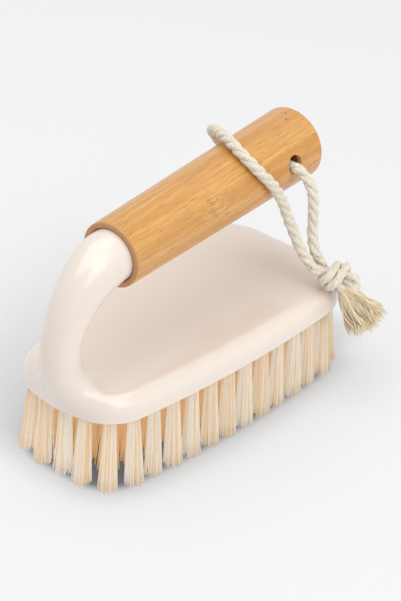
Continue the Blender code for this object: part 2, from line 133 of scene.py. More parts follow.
# Tufts
RIM_TO_TUFT = 0.005
RIM_TUFTS = 36
ROW_TUFT_PITCH = 0.0115
END_TUFTS = 3
TUFT_ROOT_RADIUS = 0.00215
TUFT_TIP_GAP = 0.0016
INNER_TIP_SHRINK = 0.0012
RIM_SPLAY = 0.001
CORNER_SPLAY = 0.0015
FILAMENT_RADIUS = 0.00025
FILAMENTS_PER_TUFT = 78
FILAMENT_BOW = 0.00012
FILAMENT_STRAY = 0.0007
FILAMENT_TRIM = 0.0003
GOLDEN_ANGLE = math.pi * (3 - math.sqrt(5))
TUFT_DEPTH = 0.003
INNER_SPREAD = 1.45
TUFT_SOFTNESS = 0.2
PLATE_EASE = 0.0003
TUFT_HOLE_EASE = 0.0002
TUFT_HOLE_SIDES = 20

# Rope
ROPE_DIAMETER = 0.0048
ROPE_PITCH = 0.0155
ROPE_STEP = 0.00045
STRAND_RADIUS = 0.00136
STRAND_ORBIT = 0.00106
YARNS_PER_STRAND = 8
ROPE_REST = 0.0011
KNOT_SQUEEZE = 0.60
KNOT_EASE = 0.006
# From the knot's upper rope round to its lower one
ROPE_ROUTE = [
    (0.0543, -0.0295, 0.0620), (0.0549, -0.0275, 0.0690), (0.0556, -0.0266, 0.0780),
    (0.0558, -0.0252, 0.0862), (0.0556, -0.0215, 0.0920), (0.0560, -0.0158, 0.0953),
    (0.0561, -0.0080, 0.0938), (0.0561, 0.0000, 0.0921), (0.0561, 0.0080, 0.0904),
    (0.0560, 0.0158, 0.0888), (0.0555, 0.0212, 0.0900), (0.0530, 0.0238, 0.0945),
    (0.0475, 0.0217, 0.1005), (0.0405, 0.0146, 0.1060), (0.0345, 0.0065, 0.1095),
    (0.0305, -0.0020, 0.1099), (0.0293, -0.0098, 0.1070), (0.0322, -0.0153, 0.1015),
    (0.0378, -0.0181, 0.0940), (0.0430, -0.0189, 0.0860), (0.0462, -0.0200, 0.0780),
    (0.0480, -0.0226, 0.0700), (0.0487, -0.0262, 0.0632),
]

# Knot: two slack ropes tied side by side in an open overhand knot, and pulled tight in rounds
KNOT_ROPE = 0.00325
KNOT_SLACK_ROPE = 0.0013
KNOT_APART_SHARE = 0.52
KNOT_OPENING = (0.003162, 0.004862, 0.0008211)
KNOT_OPEN_REACH = 2.28
KNOT_LEAD = 0.026
KNOT_LEAD_RADIUS = 0.0045
KNOT_LINK = 0.00115
KNOT_SWELL_ROUNDS = 1500
KNOT_PUSH_SHARE = 0.225
# Rounds, and in each: the ends' pull, how firmly they are guided, how much bends ease, sweeps for length
FIRST_PULLS = (6500, 0.00003, 0.02, 0.12, 4)
LATER_PULLS = (1500, 0.00002, 0.03, 0.10, 6)
LATER_PULL_TIMES = 6
# Where the photo shows the tight knot, how it is turned there, and the ropes' ways in and out
KNOT_MIDDLE = (0.0597, -0.0385, 0.0488)
KNOT_HALF_LENGTH = 0.007
KNOT_TILT = math.radians(-35)
KNOT_SPIN = math.radians(210)
KNOT_STRETCH = (1.06, 1.06, 1.0)
KNOT_ROUTE_STEP = 0.0026
KNOT_WAYS_IN = (
    [(0.0569, -0.0295, 0.0566), (0.0572, -0.0314, 0.0545)],
    [(0.0516, -0.0308, 0.0548), (0.0522, -0.0329, 0.0533)],
)
KNOT_WAYS_OUT = (
    [
        (0.0656, -0.0443, 0.0469), (0.0648, -0.0454, 0.0452), (0.0628, -0.0456, 0.0437),
        (0.0607, -0.0452, 0.0425),
    ],
    [(0.0630, -0.0443, 0.0442), (0.0619, -0.0449, 0.0432), (0.0599, -0.0444, 0.0422)],
)

# Tassel: where it leaves the knot, where it points, and how wide it opens
TASSEL_START = Vector((0.0598, -0.0441, 0.0425))
TASSEL_AIM = Vector((0.119, -0.716, -0.688)).normalized()
TASSEL_WIDE = Vector((0.673, -0.443, 0.592)).normalized()
TASSEL_NECK = 0.0018
TASSEL_ROOT = 0.003
TASSEL_SHORT = 0.0140
TASSEL_LONG = 0.0185
TASSEL_FAN = math.radians(20)
TASSEL_THICK = math.radians(11)
TASSEL_LOCKS = 15
YARNS_PER_LOCK = 7
LOCK_RADIUS = 0.00085
TASSEL_YARN_RADIUS = 0.00030


# Sums and meshes

def eased(value, low, high):
    """The value's place between low and high, from 0 to 1, with soft ends."""
    share = np.clip((value - low) / (high - low), 0, 1)
    return share * share * (3 - 2 * share)


def unit_rows(vectors):
    return vectors / np.maximum(np.linalg.norm(vectors, axis=1), 1e-12)[:, None]


def growth(gap_of, points, step):
    """How a distance grows along each axis, over a step to both sides."""
    rises = [gap_of(points + move) - gap_of(points - move) for move in step * np.eye(3)]
    return np.stack(rises, 1) / (2 * step)


def rows_of(items, name, width=3, kind=float):
    """A property of all of a mesh's vertices, edges or corners, a row for each."""
    values = np.empty(len(items) * width, kind)
    items.foreach_get(name, values)
    return values.reshape(-1, width)


def store(mesh, name, kind, values):
    """Keeps a number or a vector for each point of a mesh, under a name."""
    field = "vector" if kind == "FLOAT_VECTOR" else "value"
    mesh.attributes.new(name, kind, "POINT").data.foreach_set(field, np.ravel(values))


def new_mesh(name, vertices, faces):
    mesh = bpy.data.meshes.new(name)
    mesh.from_pydata(vertices, [], faces)
    return mesh


def shell_of(mesh):
    shell = bmesh.new()
    shell.from_mesh(mesh)
    return shell


def write_shell(shell, mesh):
    """Puts an edited shell into a mesh, its faces pointing outwards."""
    bmesh.ops.recalc_face_normals(shell, faces=shell.faces)
    shell.to_mesh(mesh)
    shell.free()
    return mesh


def shade_softly(mesh, sharp_angle):
    mesh.shade_smooth()
    mesh.set_sharp_from_angle(angle=math.radians(sharp_angle))


# Camera, light and floor

def set_camera():
    """The photograph's viewing angle, fitted to the brush."""
    data = bpy.data.cameras.new("camera")
    data.sensor_width = 36
    data.lens = FOCAL_LENGTH
    data.clip_start = 0.05
    data.clip_end = 20
    camera = bpy.data.objects.new("camera", data)
    bpy.context.scene.collection.objects.link(camera)
    place = Matrix((CAMERA_RIGHT, CAMERA_UP, CAMERA_BACK)).transposed().to_4x4()
    place.translation = CAMERA_PLACE
    camera.matrix_world = place
    bpy.context.scene.camera = camera


def add_softbox(name, place, width, height, power, colour=(1, 1, 1)):
    """A rectangular lamp that faces the brush."""
    data = bpy.data.lights.new(name, "AREA")
    data.shape = "RECTANGLE"
    data.size = width
    data.size_y = height
    data.energy = power
    data.color = colour
    lamp = bpy.data.objects.new(name, data)
    bpy.context.scene.collection.objects.link(lamp)
    lamp.location = place
    lamp.rotation_euler = (BRUSH_MIDDLE - lamp.location).to_track_quat("-Z", "Y").to_euler()
    return lamp


def floor_shade(x, y):
    """How dark the brush makes the floor: close between the tufts, softly where their shadow falls."""
    cast = np.zeros_like(x)
    for s in np.linspace(0, 1, 13):
        gap = outline_gap(x - SHADOW_FALL[0] * s, y - SHADOW_FALL[1] * s)
        cast = np.maximum(cast, (1 - s) * eased(gap, 0.012 + 0.025 * s, -0.012))
    under = eased(outline_gap(x, y), 0.001, -0.005)
    tassel = eased(np.hypot(x - TASSEL_SHADE_PLACE[0], y - TASSEL_SHADE_PLACE[1]), TASSEL_SHADE_RADIUS, 0.002)
    return 1 - (1 - UNDER_SHADE * under) * (1 - CAST_SHADE * cast) * (1 - TASSEL_SHADE * tassel)


def set_studio():
    """A pale surround, two softboxes to the right, one of them low, and a wide one above."""
    scene = bpy.context.scene
    scene.view_settings.view_transform = "Standard"
    world = bpy.data.worlds.new("studio")
    scene.world = world
    world.use_nodes = True
    tree = world.node_tree
    tree.nodes.clear()
    seen = add_node(tree, "ShaderNodeBackground", {"Color": (0.88, 0.88, 0.88, 1), "Strength": 1.0})
    fill = add_node(tree, "ShaderNodeBackground", {"Color": (*SOFT_WHITE, 1), "Strength": 0.55})
    mixed = mixed_shader(tree, seen_directly(tree), fill, seen)
    add_node(tree, "ShaderNodeOutputWorld", {"Surface": mixed})
    low = add_softbox("low_softbox", (0.25, -1.2, 0.17), 0.6, 0.28, 3.3, SOFT_WHITE)
    low.visible_glossy = False
    add_softbox("main_softbox", (-0.286, -0.785, 0.996), 0.75, 0.75, 3.15, SOFT_WHITE)
    add_softbox("top_softbox", (-0.1, 0.2, 1.3), 1.4, 1.4, 10.0)


def add_floor():
    """The stage floor: a fine grid round the brush, which holds the shade, and wide edges."""
    steps = np.concatenate([[-FLOOR_REACH], np.linspace(*FLOOR_GRID), [FLOOR_REACH]])
    x, y = (grid.ravel() for grid in np.meshgrid(steps, steps))
    count = len(steps)
    faces = [
        (i * count + k, i * count + k + 1, (i + 1) * count + k + 1, (i + 1) * count + k)
        for i in range(count - 1) for k in range(count - 1)
    ]
    mesh = new_mesh("floor", np.stack([x, y, 0 * x], axis=1).tolist(), faces)
    store(mesh, "shade", "FLOAT", floor_shade(x, y))
    link_mesh("floor", mesh, floor_paper())


# Node helpers

def add_node(tree, kind, inputs=(), **settings):
    """A node with its settings; its inputs are values, or sockets that are linked."""
    made = tree.nodes.new(kind)
    for name, value in settings.items():
        setattr(made, name, value)
    for name, value in dict(inputs).items():
        if isinstance(value, bpy.types.NodeSocket):
            tree.links.new(value, made.inputs[name])
        else:
            made.inputs[name].default_value = value
    return made


def maths(tree, operation, *values):
    made = add_node(tree, "ShaderNodeMath", dict(enumerate(values)), operation=operation)
    return made.outputs[0]


def times(tree, *values):
    """The product of two or more values."""
    product = values[0]
    for value in values[1:]:
        product = maths(tree, "MULTIPLY", product, value)
    return product


def vector_maths(tree, operation, *values):
    made = add_node(tree, "ShaderNodeVectorMath", dict(enumerate(values)), operation=operation)
    return made.outputs["Value" if operation in ("LENGTH", "DOT_PRODUCT") else "Vector"]


def scaled_vector(tree, vector, scale):
    made = add_node(tree, "ShaderNodeVectorMath", {0: vector, "Scale": scale}, operation="SCALE")
    return made.outputs[0]


def mixed_colour(tree, share, first, second):
    return add_node(tree, "ShaderNodeMix", {0: share, 6: first, 7: second}, data_type="RGBA").outputs[2]


def layered(tree, colour, *layers):
    """A colour under layers, each a mask and its own colour."""
    for share, over in layers:
        colour = mixed_colour(tree, share, colour, over)
    return colour


def mixed_shader(tree, share, first, second):
    return add_node(
        tree, "ShaderNodeMixShader", {0: share, 1: first.outputs[0], 2: second.outputs[0]}
    ).outputs[0]


def seen_directly(tree):
    """1 for rays from the camera, reflections and clear things, and 0 for those that only carry light."""
    rays = add_node(tree, "ShaderNodeLightPath").outputs
    seen = maths(tree, "MAXIMUM", rays["Is Camera Ray"], rays["Is Transmission Ray"])
    return maths(tree, "MAXIMUM", seen, rays["Is Glossy Ray"])


def stored(tree, name, output="Fac"):
    """What the piece's mesh holds under a name."""
    return add_node(
        tree, "ShaderNodeAttribute", attribute_name=name, attribute_type="GEOMETRY"
    ).outputs[output]


def stepped(tree, value, low, high, to_low=0.0, to_high=1.0):
    """The value's place between low and high, smoothly, as a number between the two targets."""
    made = add_node(
        tree, "ShaderNodeMapRange",
        {"Value": value, "From Min": low, "From Max": high, "To Min": to_low, "To Max": to_high},
        interpolation_type="SMOOTHSTEP",
    )
    return made.outputs[0]


def noise(tree, vector, scale, detail=2.0, roughness=0.5):
    made = add_node(
        tree, "ShaderNodeTexNoise",
        {"Vector": vector, "Scale": scale, "Detail": detail, "Roughness": roughness},
    )
    return made.outputs[0]


def new_finish(name, roughness, **constants):
    """A material with a Principled shader; the rest of its sockets are set by name."""
    material = bpy.data.materials.new(name)
    material.use_nodes = True
    tree = material.node_tree
    shader = tree.nodes["Principled BSDF"]
    shader.inputs["Roughness"].default_value = roughness
    for socket, value in constants.items():
        shader.inputs[socket.replace("_", " ")].default_value = value
    return material, tree, shader


def object_millimetres(tree):
    """Object coordinates, in millimetres."""
    place = add_node(tree, "ShaderNodeTexCoord").outputs["Object"]
    return scaled_vector(tree, place, 1000.0)


def dress(tree, shader, **sockets):
    """Links what is worked out into the shader's sockets."""
    for name, value in sockets.items():
        tree.links.new(value, shader.inputs[name.replace("_", " ")])


def bump(tree, height, distance):
    made = add_node(tree, "ShaderNodeBump", {"Height": height, "Distance": distance, "Strength": 1.0})
    return made.outputs[0]


# Finishes

def streak_group():
    """Shared by the finishes: noise drawn out along the first axis, as it is and as a soft mask."""
    tree = bpy.data.node_groups.new("streaks", "ShaderNodeTree")
    tree.interface.new_socket("Vector", in_out="INPUT", socket_type="NodeSocketVector")
    for name in ("Draw", "Scale", "Low", "High", "Strength"):
        tree.interface.new_socket(name, in_out="INPUT", socket_type="NodeSocketFloat")
    for name in ("Value", "Mask"):
        tree.interface.new_socket(name, in_out="OUTPUT", socket_type="NodeSocketFloat")
    given = add_node(tree, "NodeGroupInput").outputs
    drawn = add_node(tree, "ShaderNodeCombineXYZ", {0: given["Draw"], 1: 1.0, 2: 1.0}).outputs[0]
    value = noise(tree, vector_maths(tree, "MULTIPLY", given["Vector"], drawn), given["Scale"], 3, 0.6)
    mask = stepped(tree, value, given["Low"], given["High"], 0.0, given["Strength"])
    add_node(tree, "NodeGroupOutput", {"Value": value, "Mask": mask})
    return tree


def streaks(tree, vector, draw, scale, low, high, strength=1.0):
    """The shared streaks: their plain value, and a mask between low and high."""
    group = bpy.data.node_groups.get("streaks") or streak_group()
    made = add_node(
        tree, "ShaderNodeGroup",
        {"Vector": vector, "Draw": draw, "Scale": scale, "Low": low, "High": high, "Strength": strength},
        node_tree=group,
    )
    return made.outputs["Value"], made.outputs["Mask"]


def floor_paper():
    """Pale matt paper, shaded where the bristles keep the light off it."""
    material, tree, shader = new_finish("floor_paper", 0.9, Specular_IOR_Level=0.1)
    seen = seen_directly(tree)
    seen_shade = times(tree, seen, stored(tree, "shade"))
    paper = mixed_colour(tree, seen_shade, (0.84, 0.845, 0.85, 1), (0.05, 0.06, 0.075, 1))
    dress(tree, shader, Base_Color=paper)
    glow = add_node(tree, "ShaderNodeEmission", {"Color": (0.89, 0.89, 0.89, 1)})
    lit = times(tree, maths(tree, "SUBTRACT", seen, seen_shade), 0.3)
    dress(tree, tree.nodes["Material Output"], Surface=mixed_shader(tree, lit, shader, glow))
    return material


def cream_plastic():
    """Glossy cream moulding with the mould's parting line along its middle, a little paler and duller."""
    material, tree, shader = new_finish(
        "cream_moulding", CREAM_ROUGHNESS, Coat_Weight=0.9, Coat_Roughness=0.035
    )
    along, across, _ = add_node(tree, "ShaderNodeSeparateXYZ", {0: object_millimetres(tree)}).outputs
    line = stepped(tree, maths(tree, "ABSOLUTE", across), 0.5, 0.1)
    line = times(tree, line, *(stepped(tree, along, start, end) for start, end in PARTING_LINE_FADES))
    colour = mixed_colour(tree, times(tree, line, 0.35), (0.832, 0.729, 0.645, 1), (0.90, 0.83, 0.77, 1))
    dull = maths(tree, "ADD", times(tree, line, 0.1), CREAM_ROUGHNESS)
    dress(tree, shader, Base_Color=colour, Roughness=dull, Normal=bump(tree, line, 0.00005))
    return material


def bamboo():
    """Turned bamboo: long fine fibres, short dark pores, one bud scar, browner cut ends, and painted shade
    inside the cross hole.
    """
    material, tree, shader = new_finish(
        "bamboo", 0.42, Specular_IOR_Level=0.4, Coat_Weight=0.5, Coat_Roughness=0.25
    )
    place = add_node(tree, "ShaderNodeTexCoord").outputs["Object"]
    placed = add_node(
        tree, "ShaderNodeMapping", {"Vector": place, "Location": tuple(-HANDLE_MOUTH)}, vector_type="POINT"
    ).outputs[0]
    turned = add_node(
        tree, "ShaderNodeMapping",
        {"Vector": placed, "Rotation": (0, HANDLE_TILT, 0), "Scale": (1000, 1000, 1000)}, vector_type="POINT",
    ).outputs[0]
    along = add_node(tree, "ShaderNodeSeparateXYZ", {0: turned}).outputs[0]

    def length_by_axes(vector, shares):
        return vector_maths(tree, "LENGTH", vector_maths(tree, "MULTIPLY", vector, shares))

    def from_place(place):
        """Distance from a place on the handle, in an oval that is twice as long along the handle."""
        return length_by_axes(vector_maths(tree, "SUBTRACT", turned, place), (0.5, 1.0, 1.0))

    near_scar = stepped(tree, from_place(BUD_SCAR), 6.0, 0.5)
    swerve = add_node(tree, "ShaderNodeCombineXYZ", {1: times(tree, near_scar, 2.4)}).outputs[0]
    grain = vector_maths(tree, "ADD", turned, swerve)
    _, broad = streaks(tree, grain, 0.03, 0.30, 0.36, 0.64)
    fibres, fibre_mask = streaks(tree, grain, 0.010, 2.0, 0.42, 0.66, 0.65)
    _, fine = streaks(tree, grain, 0.008, 3.6, 0.46, 0.68, 0.65)
    _, bands = streaks(tree, grain, 0.02, 0.8, 0.46, 0.70, 0.6)
    _, pores = streaks(tree, grain, 0.09, 2.2, 0.59, 0.68, 0.75)
    around = vector_maths(tree, "DOT_PRODUCT", vector_maths(tree, "SUBTRACT", turned, BUD_SCAR), SCAR_AROUND)
    ragged = noise(tree, turned, 0.9, 3.0, 0.7)
    wave = maths(tree, "ADD", times(tree, around, 5.0), times(tree, ragged, 9.0))
    ahead = maths(tree, "SUBTRACT", along, BUD_SCAR[0])
    astray = maths(tree, "ABSOLUTE", maths(tree, "ADD", ahead, times(tree, ragged, 4.0)))
    dashes = times(
        tree, stepped(tree, maths(tree, "SINE", wave), 0.1, 0.9), stepped(tree, astray, 2.6, 1.0),
        stepped(tree, maths(tree, "ABSOLUTE", around), 4.5, 2.5), 0.8,
    )
    front_end = stepped(tree, along, 1.0, 0.4, 0, 0.75)
    rear_end = stepped(tree, along, HANDLE_MILLIMETRES - 0.9, HANDLE_MILLIMETRES - 0.3, 0, 0.5)
    # Painted shade: the cross hole's wall, close to the axis, is painted dark brown, partly for its cut
    # fibres and mostly for the shade inside the hole.
    painted_hole_shade = times(
        tree, stepped(tree, length_by_axes(turned, (0.0, 1.0, 1.0)), 14.6, 13.2),
        stepped(tree, along, 60.0, 61.0),
        stepped(tree, along, HANDLE_MILLIMETRES - 1.0, HANDLE_MILLIMETRES - 2.0), 0.9,
    )
    specks = [stepped(tree, from_place(speck), 0.55, 0.2, 0, 0.7) for speck in DARK_SPECKS]
    colour = layered(
        tree, (0.63, 0.295, 0.066, 1),
        (broad, (0.77, 0.43, 0.130, 1)),
        (fibre_mask, (0.60, 0.29, 0.075, 1)),
        (bands, (0.61, 0.29, 0.08, 1)),
        (fine, (0.50, 0.225, 0.055, 1)),
        (pores, (0.40, 0.17, 0.045, 1)),
        (dashes, (0.38, 0.15, 0.04, 1)),
        *((speck, (0.16, 0.06, 0.025, 1)) for speck in specks),
        (front_end, (0.50, 0.235, 0.10, 1)),
        (rear_end, (0.50, 0.26, 0.10, 1)),
        # painted shade inside the cross hole
        (painted_hole_shade, (0.20, 0.06, 0.03, 1)),
    )
    height = maths(tree, "SUBTRACT", times(tree, fibres, 0.6), times(tree, pores, 0.9))
    roughness = stepped(tree, fibres, 0.3, 0.7, 0.34, 0.5)
    dress(tree, shader, Base_Color=colour, Roughness=roughness, Normal=bump(tree, height, 0.00007))
    return material


def bristle_fibre():
    """Cream synthetic filament, each a little different, with painted golden shade near each tuft's middle
    and on the inner tufts.
    """
    material, tree, shader = new_finish("bristle_fibre", 0.42, Specular_IOR_Level=0.4)
    pale = stepped(tree, stored(tree, "filament_shade"), 0.0, 0.55)
    _, mottle = streaks(tree, object_millimetres(tree), 1.0, 0.5, 0.4, 0.7, 0.2)
    # Painted shade: filaments near a tuft's middle, and the inner tufts, are painted golden for light that
    # has passed through many filaments.
    painted_core_shade = stepped(tree, stored(tree, "out_share"), 0.6, 0.2, 0, 0.5)
    colour = layered(
        tree, (0.95, 0.73, 0.47, 1),
        (pale, (0.99, 0.93, 0.84, 1)),
        (mottle, (0.94, 0.76, 0.52, 1)),
        (maths(tree, "MAXIMUM", painted_core_shade, stored(tree, "inner")), (0.97, 0.68, 0.36, 1)),
    )
    dress(tree, shader, Base_Color=colour)
    through = add_node(tree, "ShaderNodeBsdfTranslucent", {"Color": colour})
    dress(tree, tree.nodes["Material Output"], Surface=mixed_shader(tree, 0.5, shader, through))
    return material


def cotton(name, pale, deep):
    """Matt natural cotton: fine fibre streaks along the yarns, with painted shade in the deep colour down in
    the grooves between the yarns.
    """
    material, tree, shader = new_finish(
        name, 0.92, Sheen_Weight=0.25, Sheen_Roughness=0.5, Specular_IOR_Level=0.2
    )
    fibres, dark_streaks = streaks(tree, stored(tree, "lay", "Vector"), 0.35, 4.0, 0.35, 0.7, 0.5)
    # Painted shade: where a yarn's crown is low, in the grooves, it takes the deep colour, which also makes
    # dark streaks along the yarns.
    colour = layered(tree, deep, (stepped(tree, stored(tree, "crown"), 0.05, 0.75), pale), (dark_streaks, deep))
    dress(tree, shader, Base_Color=colour, Normal=bump(tree, fibres, 0.00014))
    return material


# Pieces in general

def finish_piece(thing, slot, *nodes):
    """The piece rides on the brush's one body and stands for its CAD nodes, which it hides; the slot is not
    used.
    """
    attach(thing, BODY)
    if nodes:
        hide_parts(*nodes)
    return thing


def link_mesh(name, mesh, material=None):
    thing = bpy.data.objects.new(name, mesh)
    bpy.context.scene.collection.objects.link(thing)
    if material is not None:
        mesh.materials.clear()
        mesh.materials.append(material)
    return thing


def settle_modifiers(thing):
    """Turns what the modifiers make into the object's own mesh."""
    graph = bpy.context.evaluated_depsgraph_get()
    mesh = bpy.data.meshes.new_from_object(thing.evaluated_get(graph))
    thing.modifiers.clear()
    thing.data = mesh
    return thing


def carried_frames(line):
    """Tangents and two square directions that turn as little as possible along a line of points."""
    tangents = unit_rows(np.gradient(line, axis=0))
    sides = np.zeros_like(line)
    side = np.cross(tangents[0], (0.0, 0.0, 1.0))
    if np.linalg.norm(side) < 0.1:
        side = np.cross(tangents[0], (1.0, 0.0, 0.0))
    for i, tangent in enumerate(tangents):
        side = side - tangent * side.dot(tangent)
        side /= np.linalg.norm(side)
        sides[i] = side
    return tangents, sides, np.cross(tangents, sides)


def spaced_evenly(line, count):
    """That many points in even steps along a line, and how far along each lies."""
    lengths = np.concatenate([[0], np.cumsum(np.linalg.norm(np.diff(line, axis=0), axis=1))])
    places = np.linspace(0, lengths[-1], count)
    return np.stack([np.interp(places, lengths, line[:, k]) for k in range(3)], axis=1), places


def line_length(line):
    return np.linalg.norm(np.diff(line, axis=0), axis=1).sum()


def even_line(points, step):
    """Even steps along a smooth curve through all the points, and how far along each lies."""
    points = np.array(points, float)
    points = np.vstack([2 * points[0] - points[1], points, 2 * points[-1] - points[-2]])
    fine = []
    for a, b, c, d in zip(points, points[1:], points[2:], points[3:]):
        for t in np.linspace(0, 1, 24, endpoint=False):
            square, cube = 2 * a - 5 * b + 4 * c - d, 3 * b - a - 3 * c + d
            fine.append((2 * b + (c - a) * t + square * t ** 2 + cube * t ** 3) / 2)
    fine.append(points[-2])
    fine = np.array(fine)
    return spaced_evenly(fine, max(int(round(line_length(fine) / step)), 2) + 1)


def tube_faces(rings, sides, first=0):
    """Faces of a closed tube of vertex rings, capped at both ends."""
    faces = []
    for i in range(rings - 1):
        low, high = first + i * sides, first + (i + 1) * sides
        for k in range(sides):
            after = (k + 1) % sides
            faces.append((low + k, low + after, high + after, high + k))
    faces.append(tuple(first + k for k in reversed(range(sides))))
    faces.append(tuple(first + (rings - 1) * sides + k for k in range(sides)))
    return faces


def ring_points(line, side, other, along_side, along_other):
    """Points round each place of a line, by their distances along its two square directions."""
    across = side[:, None, :] * along_side[:, :, None] + other[:, None, :] * along_other[:, :, None]
    return (line[:, None, :] + across).reshape(-1, 3)


def ring_tube(line, radii, sides):
    """Vertices of rings along a line, one radius each."""
    _, side, other = carried_frames(line)
    angles = np.linspace(0, 2 * math.pi, sides, endpoint=False)
    reach = np.broadcast_to(np.asarray(radii)[:, None], (len(line), sides))
    return ring_points(line, side, other, reach * np.cos(angles), reach * np.sin(angles))


# Brush body

def side_centre():
    """Centre of the large arc that holds both corner circles and touches them."""
    to_front = SIDE_RADIUS - FRONT_CORNER_RADIUS
    to_rear = SIDE_RADIUS - REAR_CORNER_RADIUS
    span = (REAR_CORNER - FRONT_CORNER).length
    along = (to_front ** 2 - to_rear ** 2 + span ** 2) / (2 * span)
    across = math.sqrt(to_front ** 2 - along ** 2)
    unit = (REAR_CORNER - FRONT_CORNER) / span
    return FRONT_CORNER + unit * along + Vector((unit.y, -unit.x)) * across


SIDE_CENTRE = side_centre()
FRONT_ANGLE = math.atan2(FRONT_CORNER.y - SIDE_CENTRE.y, FRONT_CORNER.x - SIDE_CENTRE.x)
REAR_ANGLE = math.atan2(REAR_CORNER.y - SIDE_CENTRE.y, REAR_CORNER.x - SIDE_CENTRE.x)


def block_outline(inset, steps=12):
    """The block's +Y half, front to rear, drawn in by inset."""
    def arc(centre, radius, start, end, count):
        angles = np.linspace(start, end, count + 1)
        return [(centre.x + radius * math.cos(a), centre.y + radius * math.sin(a)) for a in angles]

    points = arc(FRONT_CORNER, FRONT_CORNER_RADIUS - inset, math.pi, FRONT_ANGLE, steps)
    points += arc(SIDE_CENTRE, SIDE_RADIUS - inset, FRONT_ANGLE, REAR_ANGLE, 2 * steps)[1:-1]
    return points + arc(REAR_CORNER, REAR_CORNER_RADIUS - inset, REAR_ANGLE, 0, steps)


def whole_outline(inset, steps=12):
    half = block_outline(inset, steps)
    return [(x, -y) for x, y in half] + [(x, y) for x, y in reversed(half)]


def outline_gap(x, y):
    """How far points lie outside the block's outline, seen from above; inside it is negative."""
    y = np.abs(y)

    def to_circle(centre, radius):
        return np.hypot(x - centre.x, y - centre.y) - radius

    angle = np.arctan2(y - SIDE_CENTRE.y, x - SIDE_CENTRE.x)
    to_front = np.where(y < FRONT_CORNER.y, BLOCK_FRONT - x, to_circle(FRONT_CORNER, FRONT_CORNER_RADIUS))
    to_rear = np.where(y < REAR_CORNER.y, x - BLOCK_REAR, to_circle(REAR_CORNER, REAR_CORNER_RADIUS))
    gap = np.where(angle > FRONT_ANGLE, to_front, to_circle(SIDE_CENTRE, SIDE_RADIUS))
    return np.where(angle < REAR_ANGLE, to_rear, gap)


def block_gap(p):
    """Distance to the block: a plate with a rounded top edge, open-ended downwards."""
    across = outline_gap(p[:, 0], p[:, 1]) + TOP_EDGE_ROUND
    above = p[:, 2] - (BLOCK_TOP - TOP_EDGE_ROUND)
    outside = np.hypot(np.maximum(across, 0), np.maximum(above, 0))
    return np.minimum(np.maximum(across, above), 0) + outside - TOP_EDGE_ROUND


def neck_line(count):
    """Centreline points and radii of the neck and its spigot."""
    pull_back = HANDLE_MOUTH - HANDLE_AXIS * NECK_PULL_BACK_LENGTH
    t = np.linspace(0, 1, count)[:, None]
    bend = (
        np.array(NECK_FOOT) * (1 - t) ** 3 + np.array(NECK_PULL_UP) * 3 * t * (1 - t) ** 2
        + np.array(pull_back) * 3 * t * t * (1 - t) + np.array(HANDLE_MOUTH) * t ** 3
    )
    radii = NECK_RADIUS + (NECK_MOUTH_RADIUS - NECK_RADIUS) * eased(t[:, 0], NECK_SWELL_START, 1)
    reach = np.linspace(0, SPIGOT_LENGTH, count // 4)[1:, None]
    spigot = np.array(HANDLE_MOUTH) + reach * np.array(HANDLE_AXIS)
    return np.vstack([bend, spigot]), np.concatenate([radii, np.full(len(spigot), NECK_MOUTH_RADIUS)])


def neck_gap(p, line, radii):
    """Distance to the neck, and its direction there, from the nearest place on its bending centreline."""
    gap = np.empty(len(p))
    away = np.empty_like(p)
    run = np.gradient(line, axis=0)
    bend = np.gradient(run, axis=0)
    taper = np.gradient(radii)
    for start in range(0, len(p), NECK_BATCH):
        part = p[start:start + NECK_BATCH]
        spans = part[:, None, :] - line[None, :, :]
        near = np.argmin(np.linalg.norm(spans, axis=2) - radii[None, :], axis=1)
        past = np.zeros((len(part), 1))
        for _ in range(NECK_SEARCH_ROUNDS):
            lean = run[near] + bend[near] * past
            span = part - line[near] - run[near] * past - bend[near] * past ** 2 / 2
            reach = np.maximum(np.linalg.norm(span, axis=1), 1e-9)
            pull = (span * lean).sum(1) + taper[near] * reach
            grip = np.maximum((lean ** 2).sum(1) - (span * bend[near]).sum(1), 0.2 * (lean ** 2).sum(1))
            past = np.clip(past + (pull / grip)[:, None], -0.7, 0.7)
        gap[start:start + NECK_BATCH] = reach - radii[near] - taper[near] * past[:, 0]
        away[start:start + NECK_BATCH] = span / reach[:, None]
    return gap, away


def body_gap(p, line, radii):
    """Distance to the moulding: a wide fillet where neck and block meet, a small one where they run flush."""
    block = block_gap(p)
    neck, away = neck_gap(p, line, radii)
    meeting = np.clip((unit_rows(growth(block_gap, p, MEETING_STEP)) * away).sum(1), 0, 1)
    soft = NECK_FILLET * (1 - meeting ** 2) + FLUSH_FILLET
    share = np.clip(0.5 + 0.5 * (neck - block) / soft, 0, 1)
    return neck * (1 - share) + block * share - soft * share * (1 - share)


def evened_out(p, edges, rounds):
    """Each point drawn halfway to the middle of its neighbours, several times."""
    count = np.bincount(edges.ravel(), minlength=len(p))[:, None]
    for _ in range(rounds):
        total = np.zeros_like(p)
        np.add.at(total, edges[:, 0], p[edges[:, 1]])
        np.add.at(total, edges[:, 1], p[edges[:, 0]])
        p = p + 0.5 * (total / count - p)
    return p


def gap_and_slope(p):
    """How far points lie off the moulding's surface, and how that grows around them."""
    line, radii = neck_line(NECK_LINE_POINTS)
    neck_zone = (p[:, 0] < -0.03) | (p[:, 2] > BLOCK_TOP + 0.002)
    gap, slope = np.empty(len(p)), np.empty_like(p)
    for zone, gap_of in ((neck_zone, lambda q: body_gap(q, line, radii)), (~neck_zone, block_gap)):
        gap[zone] = gap_of(p[zone])
        slope[zone] = growth(gap_of, p[zone], SLOPE_STEP)
    return gap, slope


def settle_on_body(p):
    """Moves points onto the moulding's exact surface."""
    for _ in range(2):
        gap, slope = gap_and_slope(p)
        p = p - slope * (gap / np.maximum((slope ** 2).sum(1), 0.25))[:, None]
    return p


